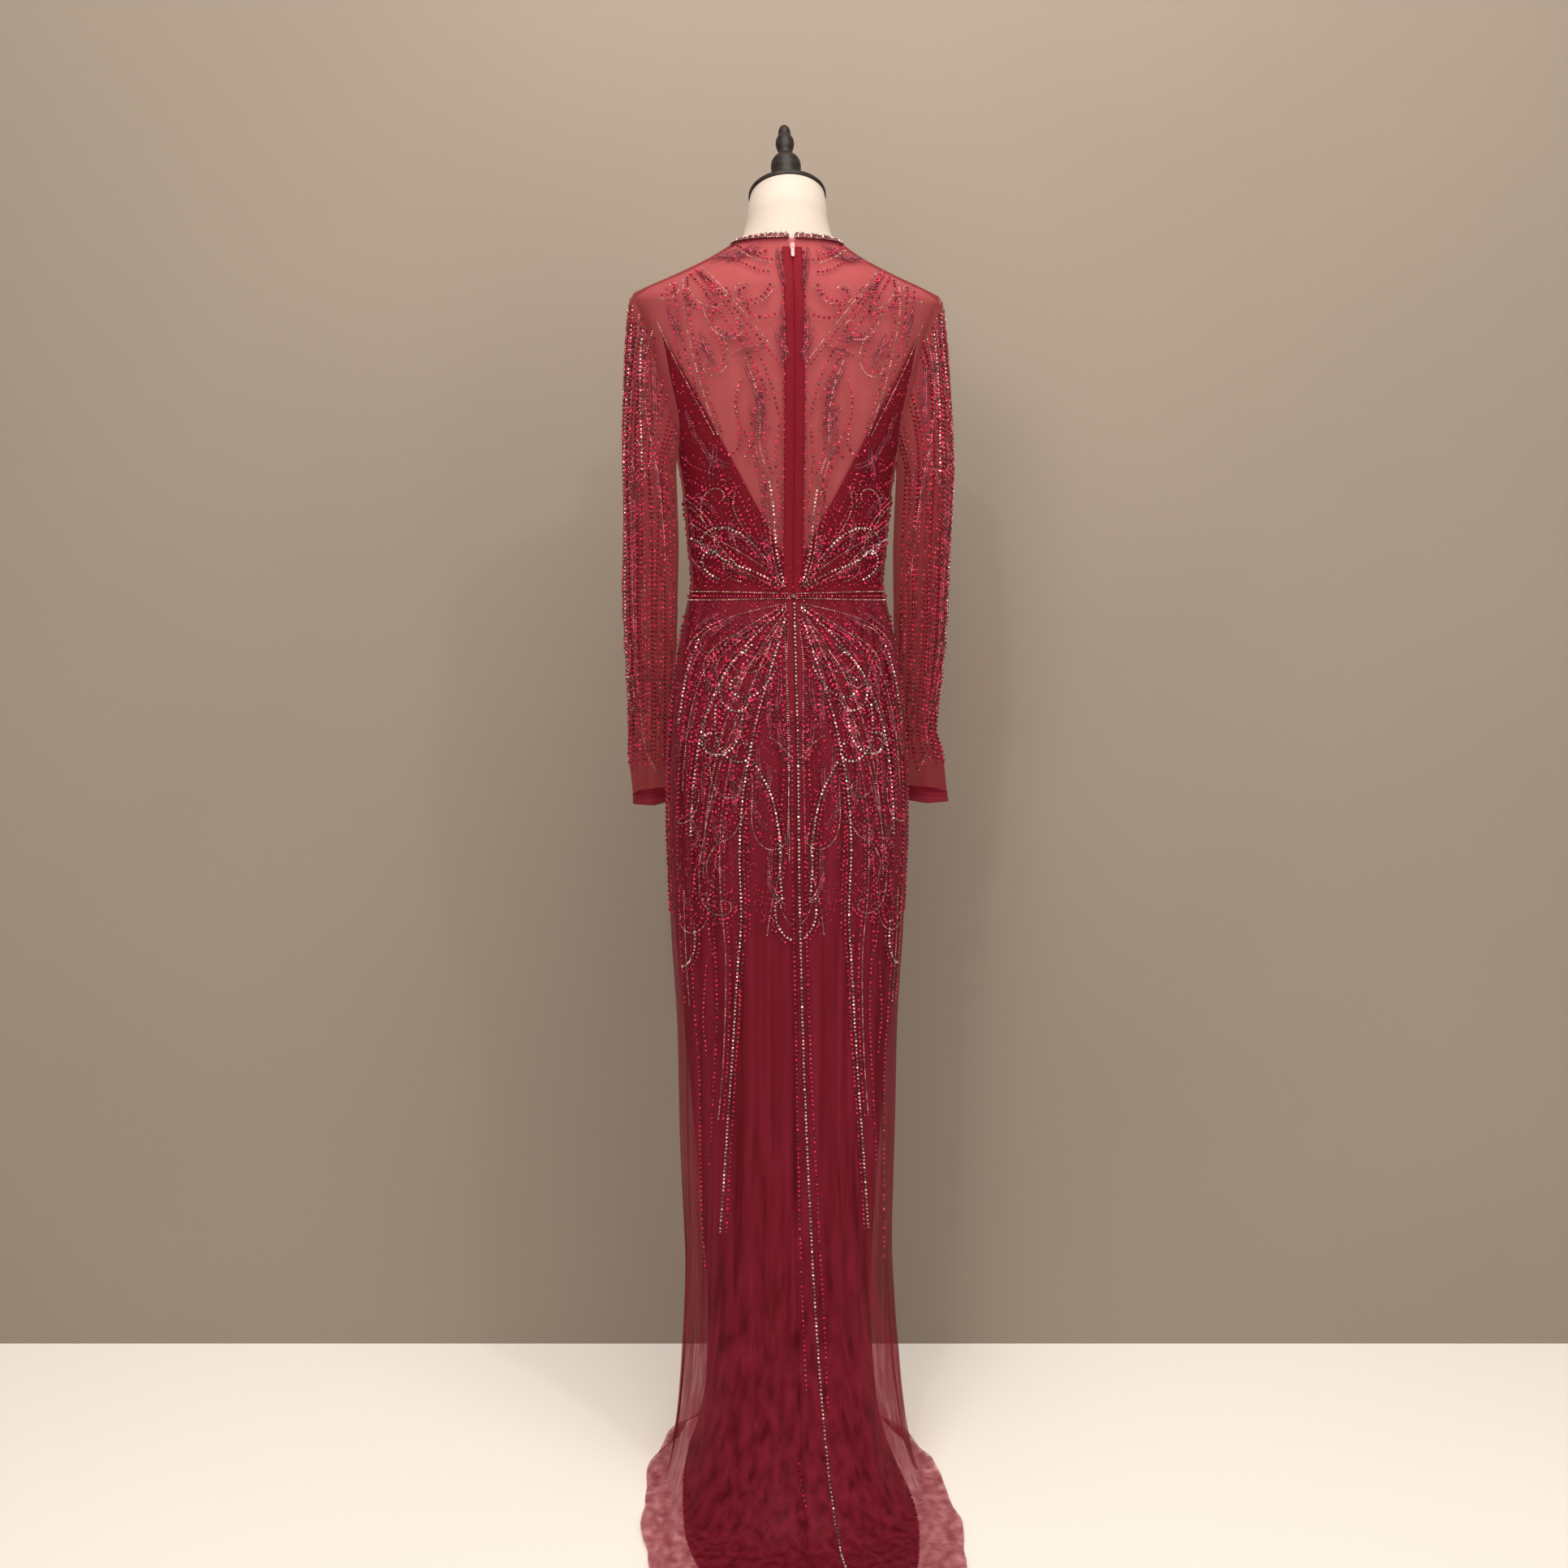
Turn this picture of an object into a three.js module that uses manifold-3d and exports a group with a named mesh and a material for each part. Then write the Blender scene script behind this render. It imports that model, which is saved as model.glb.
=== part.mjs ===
// Evening dress on a limbless dress form, in millimetres, +Z up.
// The back of the dress faces -Y, the wearer's right side is +X, and the origin lies on the floor
// under the middle of the stand. Every cloth piece is a thin closed wall with its own edges.
import * as THREE from "three";
import { mergeVertices } from "three/addons/utils/BufferGeometryUtils.js";
import Module from "manifold-3d";

const wasm = await Module();
wasm.setup();

// Driving sizes
const NET = 1.0;                  // net with its sewn beads, thickness of the wall
const SATIN = 1.2;                // opaque lining cloth
const SEAM = 0.3;                 // space left between two pieces at a seam
const LINING_INSET = 3.1;         // lining's outer face below the net's outer face
const TAPE_INSET = 1.9;           // zip tape's outer face below the net's outer face
const TAPE = { width: 12, thickness: 0.7, bottom: 925, top: 1500 };
const TAPE_NECK_ROWS = [1462, 1475, 1488];
const FORM_INSET = { body: 6.8, shoulder: 2.6, from: 1452, to: 1490 };
const WAIST = 1093;               // height of the waist seam
const UNDERARM = 1256;            // lowest point of the armhole
const SHOULDER_TIP = 1448;
const NECK = { back: 1516, side: 1515, front: 1468 };
const BAND = { back: 6.5, side: 3.7, thickness: 2.0, raise: 0.5, slit: 3.5 };
const SKIRT_CLEAR = 1.8;          // underside of the train's net above the floor, over the lining
const FLOOR_REACH = { from: 1.1, to: 1.24 };  // there the net comes down, in shares of the lining's hem

const COLOURS = {
  net: 0x8c2438, satin: 0x6f1226, sleeve: 0x8f2f3c, band: 0x5c1524,
  metal: 0xd98c90, cloth: 0xfbf0d7, wood: 0x33241e, pole: 0x2b2a2a,
};

// Horizontal sections of the dress's outer face, from the hip to the neck
const BODY = [
  { z: 745, half: 147, back: 117, front: 108, power: 2.15 },
  { z: 806, half: 149, back: 120, front: 108, power: 2.15 },
  { z: 880, half: 148, back: 121, front: 107, power: 2.15 },
  { z: 958, half: 143, back: 113, front: 104, power: 2.1 },
  { z: 1000, half: 138, back: 105, front: 101, power: 2.1 },
  { z: 1047, half: 131, back: 93, front: 97, power: 2.1 },
  { z: 1077, half: 124, back: 84, front: 92, power: 2.1 },
  { z: 1093, half: 120.5, back: 80, front: 89, power: 2.1 },
  { z: 1107, half: 118, back: 79, front: 88, power: 2.1 },
  { z: 1166, half: 123, back: 84, front: 97, power: 2.1 },
  { z: 1225, half: 128.5, back: 90, front: 111, power: 2.15 },
  { z: 1256, half: 134, back: 93, front: 120, power: 2.2 },
  { z: 1290, half: 143, back: 96, front: 125, power: 2.2 },
  { z: 1350, half: 161, back: 99, front: 118, power: 2.2 },
  { z: 1400, half: 173, back: 96, front: 107, power: 2.1 },
  { z: 1425, half: 181, back: 93, front: 101, power: 2.0 },
  { z: 1448, half: 189, back: 88, front: 95, power: 1.9 },
  { z: 1460, half: 170, back: 83, front: 89, power: 1.8 },
  { z: 1471, half: 145, back: 78, front: 83, power: 1.75 },
  { z: 1483, half: 119, back: 72, front: 76, power: 1.7 },
  { z: 1494, half: 97, back: 67, front: 70, power: 1.7 },
  { z: 1505, half: 78, back: 62, front: 65, power: 1.8 },
  { z: 1516, half: 61, back: 58, front: 60, power: 2.0 },
];

// Distance of the armhole seam from the centre, at the back and the front
const ARMHOLE = [
  { z: 1256, back: 134, front: 134 },
  { z: 1272, back: 134.4, front: 134 },
  { z: 1294, back: 134.6, front: 132.5 },
  { z: 1318, back: 138, front: 132 },
  { z: 1349, back: 145, front: 137 },
  { z: 1393, back: 153, front: 147 },
  { z: 1412, back: 160, front: 156 },
  { z: 1425, back: 167, front: 165 },
  { z: 1440, back: 181, front: 180 },
  { z: 1448, back: 189, front: 189 },
];

// Heights of the rows of the bodice, and shares of the way from the shoulder tip to the neck
const BODICE_ROWS = [
  WAIST + SEAM, 1115, 1145, 1180, 1218, 1256, 1263, 1274, 1296, 1325, 1355, 1385, 1410, 1430, 1448,
];
const PANEL_COLUMNS = 7;          // columns of a bodice panel in a quarter turn
const NECK_SHARES = [0.2, 0.42, 0.7, 1];

// Under-bodice: height where it meets the armhole, and its rows there; lowest point and slope of
// the V at the back; depth and half width of the scoop at the front
const LINING = { top: 1400, vLow: 1118, vSlope: 1.82, scoop: 28, scoopHalf: 135 };
const LINING_ROWS = [...BODICE_ROWS.filter((z) => z < 1360), LINING.top];

// Rings of the net skirt below the hip: heights at the front, side and back, half width,
// distances to the front and the back, and the place of the widest point
const NET_RINGS = [
  { front: 684, side: 684, back: 684, half: 145, ahead: 108, behind: 114, mid: 0 },
  { front: 559, side: 559, back: 559, half: 138, ahead: 107, behind: 111, mid: -1 },
  { front: 497, side: 497, back: 497, half: 137, ahead: 107, behind: 111, mid: -2 },
  { front: 434, side: 434, back: 434, half: 136, ahead: 108, behind: 113, mid: -3 },
  { front: 307, side: 307, back: 307, half: 131, ahead: 111, behind: 126, mid: -8 },
  { front: 250, side: 250, back: 250, half: 129, ahead: 113, behind: 137, mid: -12 },
  { front: 200, side: 200, back: 200, half: 129, ahead: 115, behind: 150, mid: -17 },
  { front: 150, side: 150, back: 150, half: 131, ahead: 118, behind: 167, mid: -25 },
  { front: 100, side: 100, back: 100, half: 135, ahead: 122, behind: 189, mid: -35 },
  { front: 58, side: 60, back: 60, half: 140, ahead: 127, behind: 211, mid: -44 },
  { front: 27, side: 30, back: 33, half: 145, ahead: 132, behind: 233, mid: -52 },
  { front: 9, side: 11, back: 14, half: 150, ahead: 137, behind: 256, mid: -62 },
  { front: 1, side: 1, back: 1, half: 156, ahead: 141, behind: 284, mid: -75 },
  { front: 1, side: 1, back: 1, half: 166, ahead: 144, behind: 340, mid: -105 },
  { front: 1, side: 1, back: 1, half: 177, ahead: 147, behind: 415, mid: -140 },
  { front: 1, side: 1, back: 1, half: 184, ahead: 150, behind: 486, mid: -168 },
];

// Rings of the opaque lining, which falls narrower than the net
const SATIN_RINGS = [
  { front: 684, side: 684, back: 684, half: 140, ahead: 104, behind: 110, mid: 0 },
  { front: 559, side: 559, back: 559, half: 129, ahead: 101, behind: 105, mid: -1 },
  { front: 434, side: 434, back: 434, half: 118, ahead: 99, behind: 105, mid: -3 },
  { front: 307, side: 307, back: 307, half: 108, ahead: 100, behind: 115, mid: -8 },
  { front: 200, side: 200, back: 200, half: 103, ahead: 103, behind: 137, mid: -17 },
  { front: 100, side: 100, back: 100, half: 108, ahead: 109, behind: 173, mid: -35 },
  { front: 35, side: 36, back: 38, half: 121, ahead: 114, behind: 208, mid: -50 },
  { front: 9, side: 10, back: 13, half: 132, ahead: 118, behind: 232, mid: -60 },
  { front: 1.2, side: 1.2, back: 1.2, half: 134, ahead: 121, behind: 262, mid: -72 },
  { front: 1.2, side: 1.2, back: 1.2, half: 137, ahead: 123, behind: 335, mid: -105 },
  { front: 1.2, side: 1.2, back: 1.2, half: 139, ahead: 125, behind: 420, mid: -145 },
];
const HIP_ROWS = [WAIST, 1065, 1030, 980, 925, 870, 810, 745];
const SIDE_SEAM_PULL = 0.35;      // share of the train's pull that the side seam follows
const SKIRT_POWER = 2.15;
const HEM_POWER = 2.3;
const HEM_FROM = 40;              // rings whose side is lower than this have the hem's shape
const HEM_FOLD_SHARE = 0.9;       // folds are a little flatter there
const SKIRT_COLUMNS = { netFront: 16, netBack: 14, satinFront: 10, satinBack: 7 };

// Soft folds of the net skirt: angle where each starts and where it ends at the hem, in degrees
// from the centre back towards the right side, its half width, its height, and where it starts
const FOLDS = [
  { top: 14, hem: 24, width: 5, height: 5, start: 700, full: 330 },
  { top: 25, hem: 38, width: 5, height: 6, start: 640, full: 260 },
  { top: 38, hem: 52, width: 6, height: 7, start: 560, full: 220 },
  { top: 52, hem: 67, width: 6, height: 8, start: 430, full: 170 },
  { top: 74, hem: 84, width: 6, height: 7, start: 330, full: 120 },
  { top: 104, hem: 106, width: 7, height: 6, start: 520, full: 180 },
  { top: 128, hem: 127, width: 8, height: 7, start: 600, full: 200 },
  { top: 152, hem: 150, width: 8, height: 6, start: 540, full: 220 },
  { top: 176, hem: 176, width: 9, height: 7, start: 620, full: 200 },
  { top: 201, hem: 204, width: 8, height: 6, start: 560, full: 220 },
  { top: 226, hem: 229, width: 8, height: 7, start: 600, full: 200 },
  { top: 252, hem: 251, width: 7, height: 6, start: 460, full: 170 },
  { top: 281, hem: 274, width: 6, height: 7, start: 360, full: 130 },
  { top: 300, hem: 291, width: 7, height: 6, start: 470, full: 190 },
  { top: 322, hem: 311, width: 7, height: 5, start: 560, full: 240 },
  { top: 341, hem: 334, width: 6, height: 4, start: 600, full: 300 },
];

// Sleeves: inner and outer side at each height, and depth. The cap above is worked out.
const SLEEVES = {
  right: [
    { z: 1240, inner: 134.6, outer: 203, centre: 2, depth: 51 },
    { z: 1195, inner: 133, outer: 202, centre: 5, depth: 48 },
    { z: 1150, inner: 132, outer: 200, centre: 8, depth: 46 },
    { z: 1100, inner: 133, outer: 199, centre: 14, depth: 44 },
    { z: 1050, inner: 135, outer: 199, centre: 24, depth: 42 },
    { z: 1000, inner: 137, outer: 198, centre: 40, depth: 40 },
    { z: 950, inner: 139, outer: 195, centre: 52, depth: 38 },
    { z: 925, inner: 141, outer: 194, centre: 56, depth: 36 },
    { z: 895, inner: 142, outer: 203, centre: 59, depth: 36 },
    { z: 865, inner: 142, outer: 208, centre: 61, depth: 37 },
    { z: 841, inner: 142, outer: 211, centre: 62, depth: 38 },
    { z: 833, inner: 142, outer: 212, centre: 62, depth: 38 },
  ],
  left: [
    { z: 1240, inner: 134.6, outer: 198, centre: 2, depth: 51 },
    { z: 1195, inner: 133, outer: 197, centre: 5, depth: 48 },
    { z: 1150, inner: 132, outer: 197, centre: 8, depth: 46 },
    { z: 1100, inner: 133, outer: 198, centre: 14, depth: 44 },
    { z: 1050, inner: 134, outer: 197, centre: 24, depth: 42 },
    { z: 1000, inner: 136, outer: 195, centre: 40, depth: 40 },
    { z: 950, inner: 137, outer: 194, centre: 53, depth: 38 },
    { z: 925, inner: 138, outer: 194, centre: 58, depth: 36 },
    { z: 895, inner: 138, outer: 195, centre: 61, depth: 35 },
    { z: 865, inner: 138, outer: 192, centre: 63, depth: 35 },
    { z: 841, inner: 138, outer: 190, centre: 64, depth: 35 },
    { z: 833, inner: 138, outer: 190, centre: 64, depth: 35 },
  ],
};
const CAP_ROWS = 5;
const CAP_PULL = 0.95;            // how far the cap bows before it turns down
const SLEEVE_GAP = 1.2 * SEAM;    // the cap starts this far outside the armhole

// Dress form: cloth neck above the bodice, cap and finial on one tilted axis, pole and plate
const NECK_RINGS = [
  { front: 1487, side: 1521, back: 1531, half: 53, ahead: 63, behind: 50, mid: 3 },
  { front: 1512, side: 1538, back: 1553, half: 49, ahead: 54, behind: 45, mid: 2 },
  { front: 1546.6, side: 1566.3, back: 1586, half: 45, ahead: 41, behind: 41, mid: 0 },
];
const FORM_ROWS = [830, 870, 925, 980, 1030, 1065, WAIST, 1115, 1145, 1180, 1218, 1256, 1274,
  1296, 1325, 1355, 1385, 1410, 1430, 1448];
const FORM_COLUMNS = 26;
const FORM_TUCK = { depth: 1.2, drop: 2 };    // the form's neck stays inside the neckline band
const CAP = { height: 1566.7, tilt: THREE.MathUtils.degToRad(25.7) };
const CAP_PROFILE = [[0, 0], [45, 0], [46.5, 1.5], [46.5, 4.5], [45, 6], [0, 6]];
const FINIAL = [
  [19, 6.3], [16, 9], [14.5, 20], [16.5, 32], [18.2, 44], [16.2, 54], [9, 61.5], [8, 66],
  [10, 72], [11.3, 79], [10, 86], [8, 89], [7.6, 93], [7.2, 98], [5, 103], [1, 105.5],
];
const FINIAL_STEPS = 18;
const POLE = { radius: 12.5, segments: 24 };
const PLATE = { radius: 105, thickness: 10, bevel: 2, segments: 32 };

// Zip slider at the neck, with a pull tab that swings on its bail
const SLIDER = { width: 5, length: 8, thickness: 1.2, height: 1499, lift: 0.35 };
const BAIL = { width: 1.4, reach: 3.2, rise: 2.0, wire: 0.8 };
const TAB_AXIS = 0.65;             // pull tab's axis above the slider's plate
const TAB = { width: 4, length: 15, thickness: 0.8, neck: 3.4, eyeWidth: 2.2, eyeEnd: 3.7, bar: 0.4 };

const mix = THREE.MathUtils.lerp;
const QUARTER = Math.PI / 2;

function material(colour, roughness, metalness = 0) {
  return new THREE.MeshStandardMaterial({ color: colour, roughness, metalness });
}

// Smooth curve through one column of a table, without overshoot between its rows
function columnAt(table, column, z) {
  const last = table.length - 1;
  if (z <= table[0].z) return table[0][column];
  if (z >= table[last].z) return table[last][column];
  const slopeOf = (i) =>
    (table[i + 1][column] - table[i][column]) / (table[i + 1].z - table[i].z);
  const tangent = (i) => {
    if (i === 0) return slopeOf(0);
    if (i === last) return slopeOf(last - 1);
    const before = slopeOf(i - 1);
    const after = slopeOf(i);
    return before * after <= 0 ? 0 : (2 * before * after) / (before + after);
  };
  const i = table.findIndex((row, index) => index < last && z <= table[index + 1].z);
  const width = table[i + 1].z - table[i].z;
  const t = (z - table[i].z) / width;
  const rise = t * t * (3 - 2 * t);
  return mix(table[i][column], table[i + 1][column], rise)
    + width * (t * (1 - t) ** 2 * tangent(i) - t * t * (1 - t) * tangent(i + 1));
}

// A rounded section: angle 0 is the centre back, a quarter turn the right side
function sectionPoint(section, angle, z) {
  const sine = Math.sin(angle);
  const cosine = Math.cos(angle);
  const bow = 2 / section.power;
  const reach = cosine > 0 ? -section.back - section.mid : section.front - section.mid;
  return new THREE.Vector3(
    Math.sign(sine) * section.half * Math.abs(sine) ** bow,
    section.mid + reach * Math.abs(cosine) ** bow,
    z,
  );
}

function bodyFace(angle, z) {
  const section = { mid: 0 };
  for (const column of ["half", "back", "front", "power"]) section[column] = columnAt(BODY, column, z);
  return sectionPoint(section, angle, z);
}

// A point of the body's outer face, moved in along the face's own normal
function bodyPoint(angle, z, inset = 0) {
  const point = bodyFace(angle, z);
  if (inset === 0) return point;
  const step = 0.02;
  const rise = 2;
  const around = bodyFace(angle + step, z).sub(bodyFace(angle - step, z));
  const up = bodyFace(angle, z + rise).sub(bodyFace(angle, z - rise));
  const normal = around.cross(up).normalize();
  return point.addScaledVector(normal, -inset);
}

// The angle whose point lies a given distance from the point at another angle
function angleBeside(face, angle, distance) {
  const origin = face(angle);
  let near = 0;
  let far = Math.sign(distance) * 0.4;
  for (let pass = 0; pass < 40; pass += 1) {
    const middle = (near + far) / 2;
    if (face(angle + middle).distanceTo(origin) < Math.abs(distance)) near = middle;
    else far = middle;
  }
  return angle + near;
}

function armholeAngle(z, column) {
  const half = columnAt(BODY, "half", z);
  const power = columnAt(BODY, "power", z);
  const share = Math.min(1, columnAt(ARMHOLE, column, z) / half);
  const angle = Math.asin(share ** (power / 2));
  return column === "back" ? angle : Math.PI - angle;
}

function neckTop(angle) {
  const cosine = Math.cos(angle);
  if (cosine > 0) return mix(NECK.side, NECK.back, cosine * cosine);
  return mix(NECK.side, NECK.front, Math.abs(cosine) ** 3);
}

function bandBottom(angle) {
  return neckTop(angle) - mix(BAND.side, BAND.back, Math.cos(angle) ** 2);
}

// Closes a wall between a grid of outer points and a grid of inner ones
function wallGeometry(outer, inner, around) {
  const rows = outer.length;
  const columns = outer[0].length;
  const positions = [];
  for (const point of [outer, inner].flat(2)) positions.push(...point.toArray());
  const index = [];
  const at = (side, row, column) => (side * rows + row) * columns + (column % columns);
  const quad = (a, b, c, d) => index.push(a, b, c, a, c, d);
  const spans = around ? columns : columns - 1;
  for (let row = 0; row < rows - 1; row += 1) {
    for (let column = 0; column < spans; column += 1) {
      quad(at(0, row, column), at(0, row, column + 1), at(0, row + 1, column + 1), at(0, row + 1, column));
      quad(at(1, row, column), at(1, row + 1, column), at(1, row + 1, column + 1), at(1, row, column + 1));
    }
    if (!around) {
      const end = columns - 1;
      quad(at(0, row, end), at(1, row, end), at(1, row + 1, end), at(0, row + 1, end));
      quad(at(0, row, 0), at(0, row + 1, 0), at(1, row + 1, 0), at(1, row, 0));
    }
  }
  for (let column = 0; column < spans; column += 1) {
    const top = rows - 1;
    quad(at(0, 0, column), at(1, 0, column), at(1, 0, column + 1), at(0, 0, column + 1));
    quad(at(0, top, column), at(0, top, column + 1), at(1, top, column + 1), at(1, top, column));
  }
  return closedGeometry(positions, index);
}

function closedGeometry(positions, index) {
  let volume = 0;
  const corner = (i) => new THREE.Vector3().fromArray(positions, 3 * i);
  for (let i = 0; i < index.length; i += 3) {
    volume += corner(index[i]).dot(corner(index[i + 1]).cross(corner(index[i + 2])));
  }
  if (volume < 0) index.reverse();
  const geometry = new THREE.BufferGeometry();
  geometry.setAttribute("position", new THREE.Float32BufferAttribute(positions, 3));
  geometry.setIndex(index);
  return geometry;
}

// Inner points of a wall, each set back from its outer point along the grid's normal
function setBack(outer, thickness, around, outward) {
  const rows = outer.length;
  const columns = outer[0].length;
  const limit = (value, count) => Math.min(Math.max(value, 0), count - 1);
  const pick = (row, column) => {
    const across = around ? (column + columns) % columns : limit(column, columns);
    return outer[limit(row, rows)][across];
  };
  return outer.map((line, row) => line.map((point, column) => {
    const along = pick(row, column + 1).clone().sub(pick(row, column - 1));
    const up = pick(row + 1, column).clone().sub(pick(row - 1, column));
    const normal = along.cross(up).normalize().multiplyScalar(outward);
    return point.clone().addScaledVector(normal, -thickness);
  }));
}

function clothMesh(name, outer, thickness, look, { around = false, floor = false, outward = 1 } = {}) {
  const inner = setBack(outer, thickness, around, outward);
  if (floor) {
    inner.forEach((line, row) => line.forEach((point, column) => {
      const above = outer[row][column];
      if (above.z < thickness + SKIRT_CLEAR + 0.5) point.set(above.x, above.y, above.z - thickness);
      point.z = Math.max(point.z, 0);
    }));
  }
  const mesh = new THREE.Mesh(wallGeometry(outer, inner, around), look);
  mesh.name = name;
  return mesh;
}

// A body closed by a fan at both ends, from rings of equal length
function loftMesh(name, rings, look) {
  const columns = rings[0].length;
  const positions = [];
  for (const point of rings.flat()) positions.push(...point.toArray());
  const index = [];
  for (let row = 0; row < rings.length - 1; row += 1) {
    for (let column = 0; column < columns; column += 1) {
      const next = (column + 1) % columns;
      const a = row * columns + column;
      const b = row * columns + next;
      index.push(a, b, b + columns, a, b + columns, a + columns);
    }
  }
  for (const [row, flip] of [[0, true], [rings.length - 1, false]]) {
    const middle = new THREE.Vector3();
    for (const p of rings[row]) middle.addScaledVector(p, 1 / columns);
    const centre = positions.length / 3;
    positions.push(middle.x, middle.y, middle.z);
    for (let column = 0; column < columns; column += 1) {
      const a = row * columns + column;
      const b = row * columns + (column + 1) % columns;
      index.push(centre, flip ? b : a, flip ? a : b);
    }
  }
  const mesh = new THREE.Mesh(closedGeometry(positions, index), look);
  mesh.name = name;
  return mesh;
}

// Bodice: net panels, between two edges that follow the side seam, armhole and shoulder seam
function bodiceRows() {
  const low = BODICE_ROWS.map((z) => () => z);
  const high = NECK_SHARES.map((share) => (angle) => mix(SHOULDER_TIP, bandBottom(angle), share));
  return [...low, ...high];
}

// One edge of a bodice panel: the armhole is a free edge, the seams stop half a gap short
function panelEdge(angle, column, z) {
  const free = column && z > UNDERARM && z < SHOULDER_TIP;
  if (free) return armholeAngle(z, column);
  const turn = column === "front" || !column ? 1 : -1;
  return angleBeside((at) => bodyFace(at, z), angle, (turn * SEAM) / 2);
}

function panelAngles(panel, height, columns) {
  let from = panelEdge(0, null, height(0));
  let to = panelEdge(QUARTER, "back", height(QUARTER));
  if (panel === "front") {
    from = panelEdge(QUARTER, "front", height(QUARTER));
    to = 2 * Math.PI - from;
  }
  if (panel === "left") [from, to] = [-to, -from];
  return Array.from({ length: columns + 1 }, (_, column) => mix(from, to, column / columns));
}

// A wall that follows the body's face, its rows at heights given for every angle
function bodyPanel(name, panel, columns, look, { rows, inset, thickness, heightAt }) {
  const grids = [inset, inset + thickness].map((depth) => rows.map((row) => {
    const angles = panelAngles(panel, row, columns);
    return angles.map((angle) => bodyPoint(angle, heightAt ? heightAt(row, angle) : row(angle), depth));
  }));
  const mesh = new THREE.Mesh(wallGeometry(...grids, false), look);
  mesh.name = name;
  return mesh;
}

function bodicePanel(name, panel, columns, look) {
  return bodyPanel(name, panel, columns, look, { rows: bodiceRows(), inset: 0, thickness: NET });
}

// Opaque under-bodice: a deep V at the back and a soft scoop at the front
function liningTop(point, atBack) {
  const across = Math.abs(point.x);
  if (atBack) return Math.min(LINING.vLow + LINING.vSlope * across, LINING.top);
  return mix(LINING.top - LINING.scoop, LINING.top, Math.min(1, (across / LINING.scoopHalf) ** 2));
}

function liningHeight(angle) {
  const atBack = Math.cos(angle) > 0;
  let top = LINING.top;
  for (let pass = 0; pass < 60; pass += 1) {
    top = mix(top, liningTop(bodyFace(angle, top), atBack), 0.3);
  }
  return top;
}

function liningPanel(name, panel, columns, look) {
  const bottom = LINING_ROWS[0];
  const rows = LINING_ROWS.map((height) => () => height);
  const heightAt = (row, angle) => {
    const share = (row() - bottom) / (LINING.top - bottom);
    return mix(bottom, liningHeight(angle), share);
  };
  return bodyPanel(name, panel, columns, look, {
    rows, inset: LINING_INSET, thickness: SATIN, heightAt,
  });
}

// Neckline band, in two halves that end short of the back slit
function neckBand(name, turn, look) {
  const rows = 2;
  const slit = angleBeside((angle) => bodyFace(angle, NECK.back), 0, BAND.slit);
  const end = Math.PI - SEAM / columnAt(BODY, "half", NECK.front);
  const angles = [slit];
  for (let step = 1; step < 2 * PANEL_COLUMNS; step += 1) angles.push((step * QUARTER) / PANEL_COLUMNS);
  angles.push(end);
  const grids = [-BAND.raise, BAND.thickness - BAND.raise].map((depth) =>
    Array.from({ length: rows + 1 }, (_, row) => angles.map((angle) => {
      const z = mix(bandBottom(angle) + SEAM, neckTop(angle), row / rows);
      const point = bodyPoint(angle, z, depth);
      point.x *= turn;
      return point;
    })));
  const mesh = new THREE.Mesh(wallGeometry(...grids, false), look);
  mesh.name = name;
  return mesh;
}

// Zip tapes lie under the net on both sides of the centre back
function tapeMesh(name, turn, look) {
  const levels = [...HIP_ROWS, ...BODICE_ROWS, ...TAPE_NECK_ROWS, TAPE.bottom, TAPE.top]
    .filter((z) => z >= TAPE.bottom && z <= TAPE.top)
    .sort((a, b) => a - b)
    .filter((z, i, all) => i === 0 || z - all[i - 1] > 1);
  const outer = levels.map((z) => [SEAM / 2, TAPE.width / 2, TAPE.width].map((reach) => {
    const angle = angleBeside((at) => bodyFace(at, z), 0, reach);
    const point = bodyPoint(angle, z, TAPE_INSET);
    point.x *= turn;
    return point;
  }));
  return clothMesh(name, outer, TAPE.thickness, look, { outward: turn });
}

// Skirt: rings on the hips follow the body, those below come from their table
function ringPoint(ring, angle, power) {
  const section = { half: ring.half, back: ring.behind, front: ring.ahead, mid: ring.mid, power };
  const lean = Math.cos(angle) ** 2;
  const z = mix(ring.side, Math.cos(angle) > 0 ? ring.back : ring.front, lean);
  return sectionPoint(section, angle, z);
}

function foldHeight(angle, z) {
  const degrees = THREE.MathUtils.euclideanModulo(THREE.MathUtils.radToDeg(angle), 360);
  let height = 0;
  for (const fold of FOLDS) {
    const grown = THREE.MathUtils.smoothstep(fold.start - z, 0, fold.start - fold.full);
    const place = mix(fold.hem, fold.top, THREE.MathUtils.clamp(z / fold.start, 0, 1));
    const away = THREE.MathUtils.euclideanModulo(degrees - place + 180, 360) - 180;
    height += fold.height * grown * Math.exp(-((away / fold.width) ** 2));
  }
  return height;
}

// How high the train's net lies: over the lining it is lifted, outside its hem it meets the floor
function netLift(point) {
  const hem = SATIN_RINGS[SATIN_RINGS.length - 1];
  const depth = point.y < hem.mid ? hem.behind + hem.mid : hem.ahead - hem.mid;
  const reach = Math.hypot(point.x / hem.half, (point.y - hem.mid) / depth);
  return SKIRT_CLEAR * (1 - THREE.MathUtils.smoothstep(reach, FLOOR_REACH.from, FLOOR_REACH.to));
}

function netFace(ring, angle) {
  const low = ring.side < HEM_FROM;
  const point = ringPoint(ring, angle, low ? HEM_POWER : SKIRT_POWER);
  const away = new THREE.Vector3(point.x, point.y - ring.mid, 0).normalize();
  const height = foldHeight(angle, ring.side);
  point.addScaledVector(away, low ? HEM_FOLD_SHARE * height : height);
  if (ring.side <= NET) point.z = NET + netLift(point);
  return point;
}

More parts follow.
